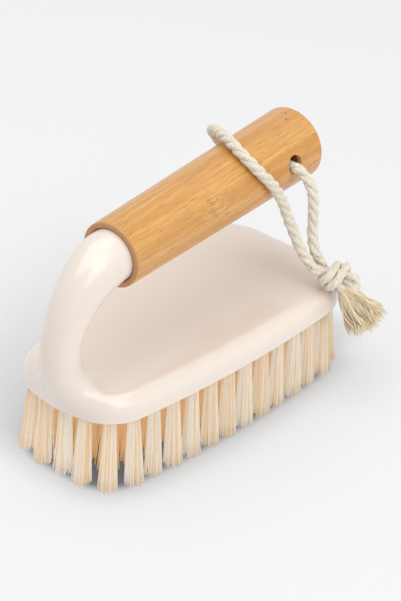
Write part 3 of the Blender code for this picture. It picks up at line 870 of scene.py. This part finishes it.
def polish(mesh):
    """Shades the moulding above its lip by its exact shape, so that reflections run clean."""
    places = rows_of(mesh.vertices, "co")
    corners = rows_of(mesh.loops, "vertex_index", 1, int)[:, 0]
    normals = rows_of(mesh.corner_normals, "vector")
    exact = unit_rows(gap_and_slope(places)[1])[corners]
    above = places[corners][:, 2] > BLOCK_BOTTOM + 2 * LIP_ROUND
    outside = above & ((normals * exact).sum(1) >= 0.7)
    normals[outside] = exact[outside]
    mesh.normals_split_custom_set(normals.tolist())


def rough_moulding():
    """Block and neck as two closed shells, made one even skin by a voxel remesh."""
    outline = whole_outline(0)
    count = len(outline)
    low, high = BLOCK_BOTTOM - 0.006, BLOCK_TOP
    vertices = [(x, y, low) for x, y in outline] + [(x, y, high) for x, y in outline]
    faces = [(k, (k + 1) % count, count + (k + 1) % count, count + k) for k in range(count)]
    faces += [tuple(reversed(range(count))), tuple(range(count, 2 * count))]
    line, radii = neck_line(60)
    sides = 32
    faces += tube_faces(len(line), sides, len(vertices))
    vertices += ring_tube(line, radii, sides).tolist()
    mesh = new_mesh("rough_moulding", vertices, faces)
    thing = link_mesh("rough_moulding", write_shell(shell_of(mesh), mesh))
    remesh = thing.modifiers.new("skin", "REMESH")
    remesh.mode = "VOXEL"
    remesh.voxel_size = SKIN_VOXEL
    mesh = settle_modifiers(thing).data
    bpy.data.objects.remove(thing)
    shell = shell_of(mesh)
    cut_below(shell, BLOCK_BOTTOM - 0.002)
    return write_shell(shell, mesh)


def cut_below(shell, height):
    bmesh.ops.bisect_plane(
        shell, geom=shell.verts[:] + shell.edges[:] + shell.faces[:], plane_co=(0, 0, height),
        plane_no=(0, 0, 1), clear_inner=True, dist=1e-6,
    )


def close_underside(shell):
    """Cuts the skin off above the rim and turns it in: rounded lip, rim wall and pocket."""
    cut_below(shell, BLOCK_BOTTOM + LIP_ROUND)
    edges = [e for e in shell.edges if e.is_boundary]
    steps = [
        (0.3 * LIP_ROUND, BLOCK_BOTTOM + 0.3 * LIP_ROUND), (LIP_ROUND, BLOCK_BOTTOM),
        (RIM_WALL, BLOCK_BOTTOM), (RIM_WALL, BACKING_TOP),
    ]
    home = {v: v.co.copy() for e in edges for v in e.verts}
    for inset, height in steps:
        made = bmesh.ops.extrude_edge_only(shell, edges=edges)["geom"]
        verts = [g for g in made if isinstance(g, bmesh.types.BMVert)]
        edges = [g for g in made if isinstance(g, bmesh.types.BMEdge) and g.is_boundary]
        for v in verts:
            origin = min(
                (home[other] for e in v.link_edges for other in (e.other_vert(v),) if other in home),
                key=lambda co: (co - v.co).length, default=v.co,
            )
            home[v] = origin
        for v in verts:
            origin = home[v]
            step = 1e-5
            x, y = np.array([origin.x]), np.array([origin.y])
            slope = Vector((
                float((outline_gap(x + step, y) - outline_gap(x - step, y))[0]),
                float((outline_gap(x, y + step) - outline_gap(x, y - step))[0]), 0,
            )).normalized()
            v.co = Vector((origin.x, origin.y, height)) - slope * inset
    bmesh.ops.contextual_create(shell, geom=edges)


def add_body(finish):
    """The moulding's skin, settled on its exact shape."""
    mesh = rough_moulding()
    places = rows_of(mesh.vertices, "co")
    edges = rows_of(mesh.edges, "vertices", 2, int)
    for rounds in (8, 5, 3):
        places = settle_on_body(evened_out(places, edges, rounds))
    mesh.vertices.foreach_set("co", places.ravel())
    shell = shell_of(mesh)
    close_underside(shell)
    shade_softly(write_shell(shell, mesh), 50)
    polish(mesh)
    return finish_piece(link_mesh("brush_moulding", mesh, finish), "cream_plastic", "brush_body")


# Handle

def handle_profile():
    """The handle's half section, as radii and places along it: rear face, grip, front rim and socket."""
    turns = np.linspace(0, math.pi / 2, 5)
    rear, front = HANDLE_REAR_RADIUS - REAR_EASE, HANDLE_FRONT_RADIUS - FRONT_EASE
    profile = [(0.0, HANDLE_LENGTH)]
    profile += [(r, HANDLE_LENGTH) for r in np.linspace(0.004, rear - 0.002, 4)]
    profile += [
        (rear + REAR_EASE * math.sin(a), HANDLE_LENGTH - REAR_EASE * (1 - math.cos(a))) for a in turns
    ]
    profile += [
        (HANDLE_REAR_RADIUS + (HANDLE_FRONT_RADIUS - HANDLE_REAR_RADIUS) * (1 - s / HANDLE_LENGTH), s)
        for s in np.linspace(HANDLE_LENGTH - 0.002, 0.002, 48)
    ]
    profile += [(front + FRONT_EASE * math.cos(a), FRONT_EASE * (1 - math.sin(a))) for a in turns]
    profile += [(SOCKET_RADIUS + SOCKET_EASE, 0.0), (SOCKET_RADIUS, SOCKET_EASE)]
    return profile + [(SOCKET_RADIUS, SOCKET_DEPTH), (0.0, SOCKET_DEPTH)]


def turned_mesh(name, profile, sides):
    """A section turned round the handle's axis."""
    shell = bmesh.new()
    rings = []
    for radius, along in profile:
        centre = HANDLE_MOUTH + HANDLE_AXIS * along
        angles = np.linspace(0, 2 * math.pi, sides, endpoint=False) if radius else [0.0]
        spokes = [HANDLE_ACROSS * math.cos(a) + HANDLE_UP * math.sin(a) for a in angles]
        rings.append([shell.verts.new(centre + spoke * radius) for spoke in spokes])
    for one, two in zip(rings, rings[1:]):
        for k in range(sides):
            after = (k + 1) % sides
            if len(one) == 1:
                shell.faces.new((one[0], two[k], two[after]))
            elif len(two) == 1:
                shell.faces.new((one[k], two[0], one[after]))
            else:
                shell.faces.new((one[k], two[k], two[after], one[after]))
    return write_shell(shell, bpy.data.meshes.new(name))


def add_handle():
    """Turned from one piece of bamboo, bored for the neck and cross-drilled for the rope."""
    handle = link_mesh("bamboo_grip", turned_mesh("bamboo_grip", handle_profile(), HANDLE_SIDES), bamboo())
    drill_line = np.array([HOLE_PLACE - HOLE_AXIS * DRILL_REACH, HOLE_PLACE + HOLE_AXIS * DRILL_REACH])
    skin = ring_tube(drill_line, [HOLE_RADIUS] * 2, DRILL_SIDES).tolist()
    drill = link_mesh("drill", new_mesh("drill", skin, tube_faces(2, DRILL_SIDES)))
    cut = handle.modifiers.new("cross hole", "BOOLEAN")
    cut.operation = "DIFFERENCE"
    cut.solver = "EXACT"
    cut.object = drill
    worn = handle.modifiers.new("worn edges", "BEVEL")
    worn.limit_method = "ANGLE"
    worn.angle_limit = math.radians(40)
    worn.width = WORN_EDGE
    worn.segments = 3
    settle_modifiers(handle)
    bpy.data.objects.remove(drill)
    shade_softly(handle.data, 40)
    return finish_piece(handle, "bamboo", "bamboo_handle")


# Tufts

def rim_tufts():
    """Places and outward directions of the rim's tufts on the +Y side, front to rear, and their spacing."""
    half = [Vector(p) for p in block_outline(RIM_TO_TUFT, 28)]
    path = [Vector((half[0].x, 0))] + half + [Vector((half[-1].x, 0))]
    lengths = np.cumsum([0] + [(b - a).length for a, b in zip(path, path[1:])])
    places = []
    for s in np.linspace(0, lengths[-1], RIM_TUFTS // 2 + 1):
        i = min(int(np.searchsorted(lengths, s, side="right")) - 1, len(path) - 2)
        along = (path[i + 1] - path[i]).normalized()
        places.append((path[i] + along * (s - lengths[i]), Vector((-along.y, along.x))))
    return places, lengths[-1] / (RIM_TUFTS // 2)


def tuft_rows():
    """Rows across the block, front to rear, each a list of (root, tip, tip radius)."""
    places, pitch = rim_tufts()
    rim_radius = (pitch - TUFT_TIP_GAP) / 2
    inner_radius = rim_radius - INNER_TIP_SHRINK / 2

    def pair(place, outward):
        corner = 2 * abs(outward.x * outward.y)
        tip = place + outward * (RIM_SPLAY + CORNER_SPLAY * corner)
        both = [(place, tip, rim_radius)]
        if place.y > TUFT_ROOT_RADIUS:
            both.append((Vector((place.x, -place.y)), Vector((tip.x, -tip.y)), rim_radius))
        return both

    def inner(x, heights):
        return [(Vector((x, y)), Vector((x, y)), inner_radius) for y in heights]

    last = len(places) - END_TUFTS
    rows = [[tuft for place in places[:END_TUFTS] for tuft in pair(*place)]]
    for place, outward in places[END_TUFTS:last - 1]:
        count = round(2 * place.y / ROW_TUFT_PITCH) + 1
        rows.append(pair(place, outward) + inner(place.x, np.linspace(-place.y, place.y, count)[1:-1]))
    rear = places[last:]
    before, outward = places[last - 1]
    middle_x = (places[last - 2][0].x + rear[-1][0].x) / 2
    dark_streaks = [(a[0].y + b[0].y) / 2 for a, b in zip(rear, rear[1:])]
    rows.append(pair(before, outward) + inner(middle_x, dark_streaks + [-y for y in dark_streaks]))
    rows.append([tuft for place in rear for tuft in pair(*place)])
    return rows


def tuft_tree():
    """Geometry nodes: each point becomes a fan of filaments, tight at the root and level at the tip."""
    tree = bpy.data.node_groups.new("tuft_filaments", "GeometryNodeTree")
    tree.is_modifier = True
    for name, kind in (
        ("Geometry", "Geometry"), ("Filaments", "Int"), ("Filament radius", "Float"),
        ("Root radius", "Float"), ("Length", "Float"), ("Stray", "Float"), ("Trim", "Float"),
        ("Seed", "Int"), ("Material", "Material"),
    ):
        tree.interface.new_socket(name, in_out="INPUT", socket_type="NodeSocket" + kind)
    tree.interface.new_socket("Geometry", in_out="OUTPUT", socket_type="NodeSocketGeometry")
    given = add_node(tree, "NodeGroupInput").outputs
    copies = add_node(tree, "GeometryNodeDuplicateElements", {"Geometry": given["Geometry"]}, domain="POINT")
    tree.links.new(given["Filaments"], copies.inputs["Amount"])
    number = copies.outputs["Duplicate Index"]
    share = maths(tree, "SQRT", maths(tree, "DIVIDE", maths(tree, "ADD", number, 0.5), given["Filaments"]))

    def scatter(low, high, offset, kind="FLOAT"):
        made = tree.nodes.new("FunctionNodeRandomValue")
        made.data_type = kind
        first, second = (2, 3) if kind == "FLOAT" else (0, 1)
        made.inputs[first].default_value = low
        made.inputs[second].default_value = high
        tree.links.new(maths(tree, "ADD", given["Seed"], offset), made.inputs["Seed"])
        return made.outputs[1 if kind == "FLOAT" else 0]

    def held(name, kind="FLOAT_VECTOR"):
        return add_node(tree, "GeometryNodeInputNamedAttribute", {"Name": name}, data_type=kind).outputs[0]

    def spoke(angle, length):
        """A flat vector of that angle and length."""
        both = add_node(
            tree, "ShaderNodeCombineXYZ", {0: maths(tree, "COSINE", angle), 1: maths(tree, "SINE", angle)}
        )
        return scaled_vector(tree, both.outputs[0], length)

    def sum_of(*vectors):
        total = vectors[0]
        for vector in vectors[1:]:
            total = vector_maths(tree, "ADD", total, vector)
        return total

    angle = maths(tree, "ADD", times(tree, number, GOLDEN_ANGLE), held("turn", "FLOAT"))
    centre = add_node(tree, "GeometryNodeInputPosition").outputs[0]
    root = sum_of(centre, spoke(angle, times(tree, share, given["Root radius"])))
    tip_angle = maths(tree, "ADD", angle, scatter(-0.22, 0.22, 1))
    reach = times(tree, share, held("spread", "FLOAT"), scatter(0.86, 0.98, 2))
    wild = maths(tree, "ADD", 0.25, maths(tree, "POWER", scatter(0.0, 1.0, 3), 5.0))
    wander = scaled_vector(
        tree, scatter((-1, -1, 0), (1, 1, 0), 4, "FLOAT_VECTOR"), times(tree, given["Stray"], wild)
    )
    height = maths(tree, "SUBTRACT", times(tree, given["Trim"], scatter(0.0, 1.0, 5)), given["Length"])
    drop = add_node(tree, "ShaderNodeCombineXYZ", {2: height}).outputs[0]
    tip = sum_of(centre, held("shift"), drop, wander, spoke(tip_angle, reach))
    bow = scaled_vector(tree, scatter((-1, -1, 0), (1, 1, 0), 6, "FLOAT_VECTOR"), FILAMENT_BOW)
    points = copies.outputs["Geometry"]
    # out_share, a filament's place out from its tuft's middle, also sets where the fibre finish paints golden
    # shade.
    for name, value, kind in (
        ("root", root, "FLOAT_VECTOR"), ("tip", tip, "FLOAT_VECTOR"), ("bow", bow, "FLOAT_VECTOR"),
        ("filament_shade", scatter(0.0, 1.0, 7), "FLOAT"), ("out_share", share, "FLOAT"),
        ("outward", spoke(angle, share), "FLOAT_VECTOR"),
    ):
        made = add_node(
            tree, "GeometryNodeStoreNamedAttribute", {"Geometry": points, "Name": name},
            data_type=kind, domain="POINT",
        )
        tree.links.new(value, next(s for s in made.inputs if s.name == "Value" and s.enabled))
        points = made.outputs[0]
    line = add_node(tree, "GeometryNodeCurvePrimitiveLine", {"End": (0, 0, 1)})
    line = add_node(tree, "GeometryNodeResampleCurve", {"Curve": line.outputs[0], "Count": 6})
    placed = add_node(tree, "GeometryNodeInstanceOnPoints", {"Points": points, "Instance": line.outputs[0]})
    real = add_node(tree, "GeometryNodeRealizeInstances", {"Geometry": placed.outputs[0]})
    down = add_node(tree, "GeometryNodeSplineParameter").outputs["Factor"]
    span = vector_maths(tree, "SUBTRACT", held("tip"), held("root"))
    arch = maths(tree, "SINE", times(tree, down, math.pi))
    place = sum_of(held("root"), scaled_vector(tree, span, down), scaled_vector(tree, held("bow"), arch))
    shaped = add_node(tree, "GeometryNodeSetPosition", {"Geometry": real.outputs[0], "Position": place})
    ring = add_node(tree, "GeometryNodeCurvePrimitiveCircle", {"Resolution": 5, "Radius": 1.0})
    skin = add_node(tree, "GeometryNodeCurveToMesh", {
        "Curve": shaped.outputs[0], "Profile Curve": ring.outputs[0], "Scale": given["Filament radius"],
        "Fill Caps": True,
    })
    smooth = add_node(tree, "GeometryNodeSetShadeSmooth", {"Geometry": skin.outputs[0]})
    whole = add_node(tree, "GeometryNodeRealizeInstances", {"Geometry": smooth.outputs[0]})
    coloured = add_node(
        tree, "GeometryNodeSetMaterial", {"Geometry": whole.outputs[0], "Material": given["Material"]}
    )
    add_node(tree, "NodeGroupOutput", {"Geometry": coloured.outputs[0]})
    return tree


def soften_tufts(mesh):
    """Turns the filaments' shading towards the tuft's own outside, as light passing through them does."""
    outward = rows_of(mesh.attributes["outward"].data, "vector")
    bent = unit_rows(rows_of(mesh.vertices, "normal") * (1 - TUFT_SOFTNESS) + outward * TUFT_SOFTNESS)
    for name in ("root", "tip", "bow", "outward"):
        mesh.attributes.remove(mesh.attributes[name])
    mesh.normals_split_custom_set_from_vertices(bent.tolist())


def add_tuft_rows():
    """Fifteen rows of filament tufts, stapled into the backing."""
    tree = tuft_tree()
    fibre = bristle_fibre()
    sockets = {item.name: item.identifier for item in tree.interface.items_tree if item.in_out == "INPUT"}
    rng = np.random.default_rng(11)
    top = BLOCK_BOTTOM + TUFT_DEPTH
    for number, row in enumerate(tuft_rows(), 1):
        mesh = new_mesh("tuft_places", [(root.x, root.y, top) for root, _, _ in row], [])
        inner = [float(tip == root) for root, tip, _ in row]
        shifts = [(*((tip - root) * (top / BLOCK_BOTTOM)), 0) for root, tip, _ in row]
        store(mesh, "shift", "FLOAT_VECTOR", shifts)
        store(mesh, "spread", "FLOAT", [
            radius * (INNER_SPREAD if tip == root else 1) for root, tip, radius in row
        ])
        store(mesh, "turn", "FLOAT", rng.uniform(0, 6.28, len(row)))
        # inner: 1 for tufts inside the rim, which the fibre finish paints with golden shade.
        store(mesh, "inner", "FLOAT", inner)
        thing = link_mesh(f"bristle_row_{number:02d}", mesh)
        modifier = thing.modifiers.new("filaments", "NODES")
        modifier.node_group = tree
        for name, value in (
            ("Filaments", FILAMENTS_PER_TUFT), ("Filament radius", FILAMENT_RADIUS),
            ("Root radius", TUFT_ROOT_RADIUS), ("Length", top), ("Stray", FILAMENT_STRAY),
            ("Trim", FILAMENT_TRIM), ("Seed", 10 * number), ("Material", fibre),
        ):
            modifier[sockets[name]] = value
        settle_modifiers(thing)
        soften_tufts(thing.data)
        finish_piece(thing, "bristle", f"tuft_row_{number:02d}")
        thing.visible_diffuse = False
        thing.visible_shadow = False


def add_tuft_plate(finish):
    """The backing between the rim walls, with an eased hole round every tuft."""
    top = BACKING_TOP - FIT_GAP
    inset = RIM_WALL + FIT_GAP
    rings = [(whole_outline(inset), whole_outline(inset + PLATE_EASE))]
    angles = np.linspace(0, 2 * math.pi, TUFT_HOLE_SIDES, endpoint=False)
    hole = TUFT_ROOT_RADIUS + FIT_GAP
    for root, _, _ in (tuft for row in tuft_rows() for tuft in row):
        rings.append(tuple(
            [(root.x + radius * math.cos(a), root.y + radius * math.sin(a)) for a in angles]
            for radius in (hole, hole + TUFT_HOLE_EASE)
        ))
    shell = bmesh.new()
    face_edges = {"low": [], "high": []}
    for edge_ring, face_ring in rings:
        loops = [
            [shell.verts.new((x, y, z)) for x, y in ring]
            for ring, z in (
                (face_ring, BLOCK_BOTTOM), (edge_ring, BLOCK_BOTTOM + PLATE_EASE),
                (edge_ring, top - PLATE_EASE), (face_ring, top),
            )
        ]
        count = len(edge_ring)
        for lower, upper in zip(loops, loops[1:]):
            for k in range(count):
                after = (k + 1) % count
                shell.faces.new((lower[k], lower[after], upper[after], upper[k]))
        for name, loop in (("low", loops[0]), ("high", loops[-1])):
            face_edges[name] += [shell.edges.get((loop[k], loop[(k + 1) % count])) for k in range(count)]
    for edges in face_edges.values():
        bmesh.ops.triangle_fill(shell, use_beauty=True, use_dissolve=False, edges=edges)
    mesh = write_shell(shell, bpy.data.meshes.new("tuft_plate"))
    shade_softly(mesh, 35)
    finish_piece(link_mesh("tuft_plate", mesh, finish), "cream_plastic")


# Rope

def rope_skin(line, places, squeeze=1.0, phase=0.0):
    """Three strands laid together left-handed, each a twist of yarns: vertices, faces, lay and crown."""
    _, sides, others = carried_frames(line)
    steps_round = 4 * YARNS_PER_STRAND
    angles = np.linspace(0, 2 * math.pi, steps_round, endpoint=False)
    yarn_pitch = ROPE_PITCH * STRAND_RADIUS / (STRAND_ORBIT + STRAND_RADIUS)
    squeeze = np.broadcast_to(squeeze, places.shape)
    rng = np.random.default_rng(5)
    vertices, faces, lay, crown = [], [], [], []
    for strand in range(3):
        turn = phase - 2 * math.pi * places / ROPE_PITCH + 2 * math.pi * strand / 3
        out = sides * np.cos(turn)[:, None] + others * np.sin(turn)[:, None]
        swell = 1 + 0.05 * np.sin(places * 820 + rng.uniform(0, 6))
        swell += 0.04 * np.sin(places * 2150 + rng.uniform(0, 6))
        centre = line + out * (STRAND_ORBIT * squeeze)[:, None]
        tangent = unit_rows(np.gradient(centre, axis=0))
        out = unit_rows(out - tangent * (out * tangent).sum(1)[:, None])
        own = angles[None, :] - (2 * math.pi * places / yarn_pitch)[:, None]
        lobe = np.abs(np.cos(own * YARNS_PER_STRAND / 2)) ** 0.7
        radius = STRAND_RADIUS * (squeeze ** 0.15 * swell)[:, None] * (0.77 + 0.23 * lobe)
        vertices.append(
            ring_points(centre, out, np.cross(tangent, out), radius * np.cos(angles), radius * np.sin(angles))
        )
        faces += tube_faces(len(line), steps_round, strand * len(line) * steps_round)
        lay.append(np.stack([
            np.broadcast_to(places[:, None] * 1000 + 37 * strand, own.shape), np.cos(own), np.sin(own),
        ], axis=2).reshape(-1, 3))
        crown.append(lobe.ravel())
    return np.vstack(vertices), faces, np.vstack(lay), np.concatenate(crown)


def cotton_mesh(name, skins, material):
    """One object from several skins, with what the cotton finish reads from them."""
    vertices, faces, first = [], [], 0
    for points, own_faces, _, _ in skins:
        faces += [tuple(first + k for k in face) for face in own_faces]
        vertices += points.tolist()
        first += len(points)
    mesh = new_mesh(name, vertices, faces)
    store(mesh, "lay", "FLOAT_VECTOR", np.vstack([skin[2] for skin in skins]))
    # crown: high on the yarns' crests; the cotton finish paints shade where it is low.
    store(mesh, "crown", "FLOAT", np.concatenate([skin[3] for skin in skins]))
    mesh.shade_smooth()
    return link_mesh(name, mesh, material)


def slack_knot():
    """Two thin ropes side by side, in an open overhand knot with long straight ends."""
    t = np.linspace(-KNOT_OPEN_REACH, KNOT_OPEN_REACH, 900)
    loops = np.stack([4 * t ** 2 - t ** 4 - 2, t ** 3 - 3 * t, t ** 5 - 10 * t], 1) * KNOT_OPENING
    lead = np.linspace(KNOT_LEAD, 0.0005, 60)[:, None] * (0, 0, 1)
    line = np.vstack([loops[0] - lead, loops, loops[-1] + lead[::-1]])
    line, _ = spaced_evenly(line, int(line_length(line) / KNOT_LINK))
    apart = carried_frames(line)[1] * (KNOT_SLACK_ROPE * KNOT_APART_SHARE)
    return [line + apart, line - apart]


def pulled(ropes, rounds, pull, guide, ease, sweeps, swell_rounds=0):
    """Two ropes after rounds of pulling: ends drawn out, bends eased, lengths kept, overlaps pushed apart."""
    counts = [len(rope) for rope in ropes]
    p = np.concatenate(ropes)
    owner = np.repeat([0, 1], counts)
    first, second = np.triu_indices(len(p), 1)
    apart = (owner[first] != owner[second]) | (second - first > 1.5 * KNOT_ROPE / KNOT_LINK)
    first, second = first[apart], second[apart]
    for done in range(rounds):
        if done % 15 == 0:
            close = np.linalg.norm(p[second] - p[first], axis=1) < 1.25 * KNOT_ROPE
            near, far = first[close], second[close]
        swell = min(done / swell_rounds, 1) if swell_rounds else 1
        thick = KNOT_SLACK_ROPE + (KNOT_ROPE - KNOT_SLACK_ROPE) * swell
        for start, count, side in ((0, counts[0], 1), (counts[0], counts[1], -1)):
            rope = p[start:start + count]
            for end, way in ((0, -1), (-1, 1)):
                rope[end, 2] += way * pull * (done > swell_rounds)
                rope[end, :2] += guide * ((0, side * thick * KNOT_APART_SHARE) - rope[end, :2])
            rope[1:-1] += ease * ((rope[:-2] + rope[2:]) / 2 - rope[1:-1])
            for sweep in range(sweeps):
                one, other = rope[sweep % 2:-1:2], rope[sweep % 2 + 1::2]
                link = other - one
                length = np.linalg.norm(link, axis=1)[:, None]
                link *= (length - KNOT_LINK) / length / 2
                one += link
                other -= link
        span = p[far] - p[near]
        length = np.linalg.norm(span, axis=1)
        hit = length < thick
        push = span[hit] * (KNOT_PUSH_SHARE * (thick / length[hit] - 1))[:, None]
        touched = np.concatenate([near[hit], far[hit]])
        shares = np.sqrt(np.maximum(np.bincount(touched, minlength=len(p)), 1))
        for k in range(3):
            p[:, k] += np.bincount(touched, np.concatenate([-push[:, k], push[:, k]]), len(p)) / shares
    return [p[:counts[0]], p[counts[0]:]]


def cut_to(rope, kept):
    """The rope from its first kept point to its last."""
    places = np.flatnonzero(kept)
    return rope[places[0]:places[-1] + 1]


def knot_routes():
    """Both ropes of the tight knot, turned and placed as in the photo, with their ways in and out."""
    ropes = pulled(slack_knot(), *FIRST_PULLS, KNOT_SWELL_ROUNDS)
    for _ in range(LATER_PULL_TIMES):
        wide = [np.hypot(rope[:, 0], rope[:, 1]) > KNOT_LEAD_RADIUS for rope in ropes]
        ropes = [cut_to(rope, loops | (np.abs(rope[:, 2]) < KNOT_LEAD)) for rope, loops in zip(ropes, wide)]
        ropes = pulled(ropes, *LATER_PULLS)
    # Unturned, the knot's z, x and y point right, up and towards the viewer in the photo
    turn = Matrix.Rotation(KNOT_TILT, 3, "Z") @ Matrix(((0, 0, 1), (1, 0, 0), (0, 1, 0)))
    turn = np.array(turn @ Matrix.Rotation(KNOT_SPIN, 3, "Z"))
    ropes = [cut_to(rope, np.abs(rope[:, 2]) < KNOT_HALF_LENGTH) @ turn.T for rope in ropes]
    both = np.vstack(ropes)
    middle = (both.min(axis=0) + both.max(axis=0)) / 2
    photo_axes = np.array([CAMERA_RIGHT, CAMERA_UP, CAMERA_BACK])
    for rope, way_in, way_out in zip(ropes, KNOT_WAYS_IN, KNOT_WAYS_OUT):
        rope, _ = even_line(rope, KNOT_ROUTE_STEP)
        yield np.vstack([way_in, (rope - middle) * KNOT_STRETCH @ photo_axes + KNOT_MIDDLE, way_out])


def add_knot(material):
    """Both ends of the rope in one doubled overhand knot, squeezed where they lie on each other."""
    skins = []
    for number, route in enumerate(knot_routes()):
        line, places = even_line(route, ROPE_STEP)
        squeeze = 1 - (1 - KNOT_SQUEEZE) * eased(places, KNOT_EASE / 2, KNOT_EASE * 1.5)
        skins.append(rope_skin(line, places, squeeze, 1.3 * number))
    knot = cotton_mesh("overhand_knot", skins, material)
    return finish_piece(knot, "cotton", "cord_knot")


def yarn_skin(line, places, radius, rng):
    """One loose twisted yarn, thinning to a soft end."""
    sides = 7
    _, side, other = carried_frames(line)
    angles = np.linspace(0, 2 * math.pi, sides, endpoint=False)
    own = np.broadcast_to(angles, (len(line), sides)) + (rng.uniform(0, 6.28) + places * 1500)[:, None]
    share = places / places[-1]
    fade = np.where(share > 0.88, 1 - 0.7 * ((share - 0.88) / 0.12) ** 2, 1.0)
    fade *= 1 + 0.14 * np.sin(places * 1100 + rng.uniform(0, 6))
    crown = np.broadcast_to(0.5 + 0.5 * np.cos(angles), own.shape)
    reach = radius * fade[:, None] * (0.85 + 0.25 * crown)
    points = ring_points(line, side, other, reach * np.cos(own), reach * np.sin(own))
    along = places[:, None] * 1000 + rng.uniform(0, 500)
    lay = np.stack([np.broadcast_to(along, own.shape), 0.6 * np.cos(own), 0.6 * np.sin(own)], axis=2)
    return points, tube_faces(len(line), sides), lay.reshape(-1, 3), crown.ravel()


def lock_routes(fan, lean, rng):
    """Centrelines of a lock's yarns, which wind loosely round the lock's own wavy line."""
    aim, wide = np.array(TASSEL_AIM), np.array(TASSEL_WIDE)
    wide = wide - aim * wide.dot(aim)
    wide /= np.linalg.norm(wide)
    thick = np.cross(aim, wide)
    across, deep = fan / TASSEL_FAN, lean / TASSEL_THICK
    start = np.array(TASSEL_START) - aim * TASSEL_ROOT
    start += TASSEL_NECK * (wide * across + thick * 0.8 * deep)
    far = aim * math.cos(fan) + wide * math.sin(fan) + thick * math.sin(lean)
    length = TASSEL_SHORT + (TASSEL_LONG - TASSEL_SHORT) * math.sqrt(max(1 - across ** 2, 0))
    drift = rng.uniform(0, 6.28, 3)
    wave = rng.uniform(0.0004, 0.0010, 2)
    winds = rng.uniform(1.5, 3.5) * rng.choice((-1, 1))
    for number in range(YARNS_PER_LOCK):
        own_length = TASSEL_ROOT + length * rng.uniform(0.88, 1.04)
        angle = 2 * math.pi * number / YARNS_PER_LOCK + drift[2]
        loose = LOCK_RADIUS * rng.uniform(0.75, 1.25)
        stray = rng.normal(0, 0.0003, 2)
        route = []
        for s in np.linspace(0, 1, 11):
            turn = angle + winds * s
            out = loose * (0.5 + 0.8 * s)
            bow = 0.0012 * across * math.sin(math.pi * s)
            sway = bow + wave[0] * s * math.sin(drift[0] + 8 * s) + out * math.cos(turn) + stray[0] * s * s
            rise = wave[1] * s * math.sin(drift[1] + 9 * s) + out * math.sin(turn) + stray[1] * s * s
            route.append(start + far * own_length * s + wide * sway + thick * rise)
        yield route


def add_tassel(material):
    """The rope's two ends below the knot, unlaid into a fan of wavy locks."""
    rng = np.random.default_rng(21)
    skins = []
    for number in range(TASSEL_LOCKS):
        fan = TASSEL_FAN * (2 * (number + 0.5) / TASSEL_LOCKS - 1)
        lean = TASSEL_THICK * (0.75 if number % 2 else -0.75) * rng.uniform(0.3, 1.2)
        for route in lock_routes(fan, lean, rng):
            line, places = even_line(route, 0.0006)
            skins.append(yarn_skin(line, places, TASSEL_YARN_RADIUS * rng.uniform(0.8, 1.15), rng))
    tassel = cotton_mesh("yarn_tassel", skins, material)
    return finish_piece(tassel, "cotton", "cord_tassel")


def add_cord():
    """The hanging loop with its knot and tassel."""
    # The second colour of each cotton is its painted shade for the grooves.
    rope_cotton = cotton("rope_cotton", (0.92, 0.865, 0.75, 1), (0.50, 0.41, 0.27, 1))
    tassel_cotton = cotton("tassel_cotton", (0.98, 0.86, 0.64, 1), (0.88, 0.71, 0.46, 1))
    knot = add_knot(rope_cotton)
    tassel = add_tassel(tassel_cotton)
    route = [Vector(p) for p in [KNOT_WAYS_IN[0][0]] + ROPE_ROUTE + [KNOT_WAYS_IN[1][0]]]
    for place in route:
        if (place - HOLE_PLACE).cross(HOLE_AXIS).length < HOLE_RADIUS - ROPE_DIAMETER / 2:
            place -= HANDLE_UP * ROPE_REST + HANDLE_AXIS * ROPE_REST / 2
    line, places = even_line(route, ROPE_STEP)
    rope = cotton_mesh("rope_loop", [rope_skin(line, places)], rope_cotton)
    finish_piece(rope, "cotton", "hanging_cord")


set_camera()
set_studio()
add_floor()
add_cord()
cream = cream_plastic()
add_body(cream)
add_tuft_plate(cream)
add_tuft_rows()
add_handle()

bpy.context.view_layer.update()
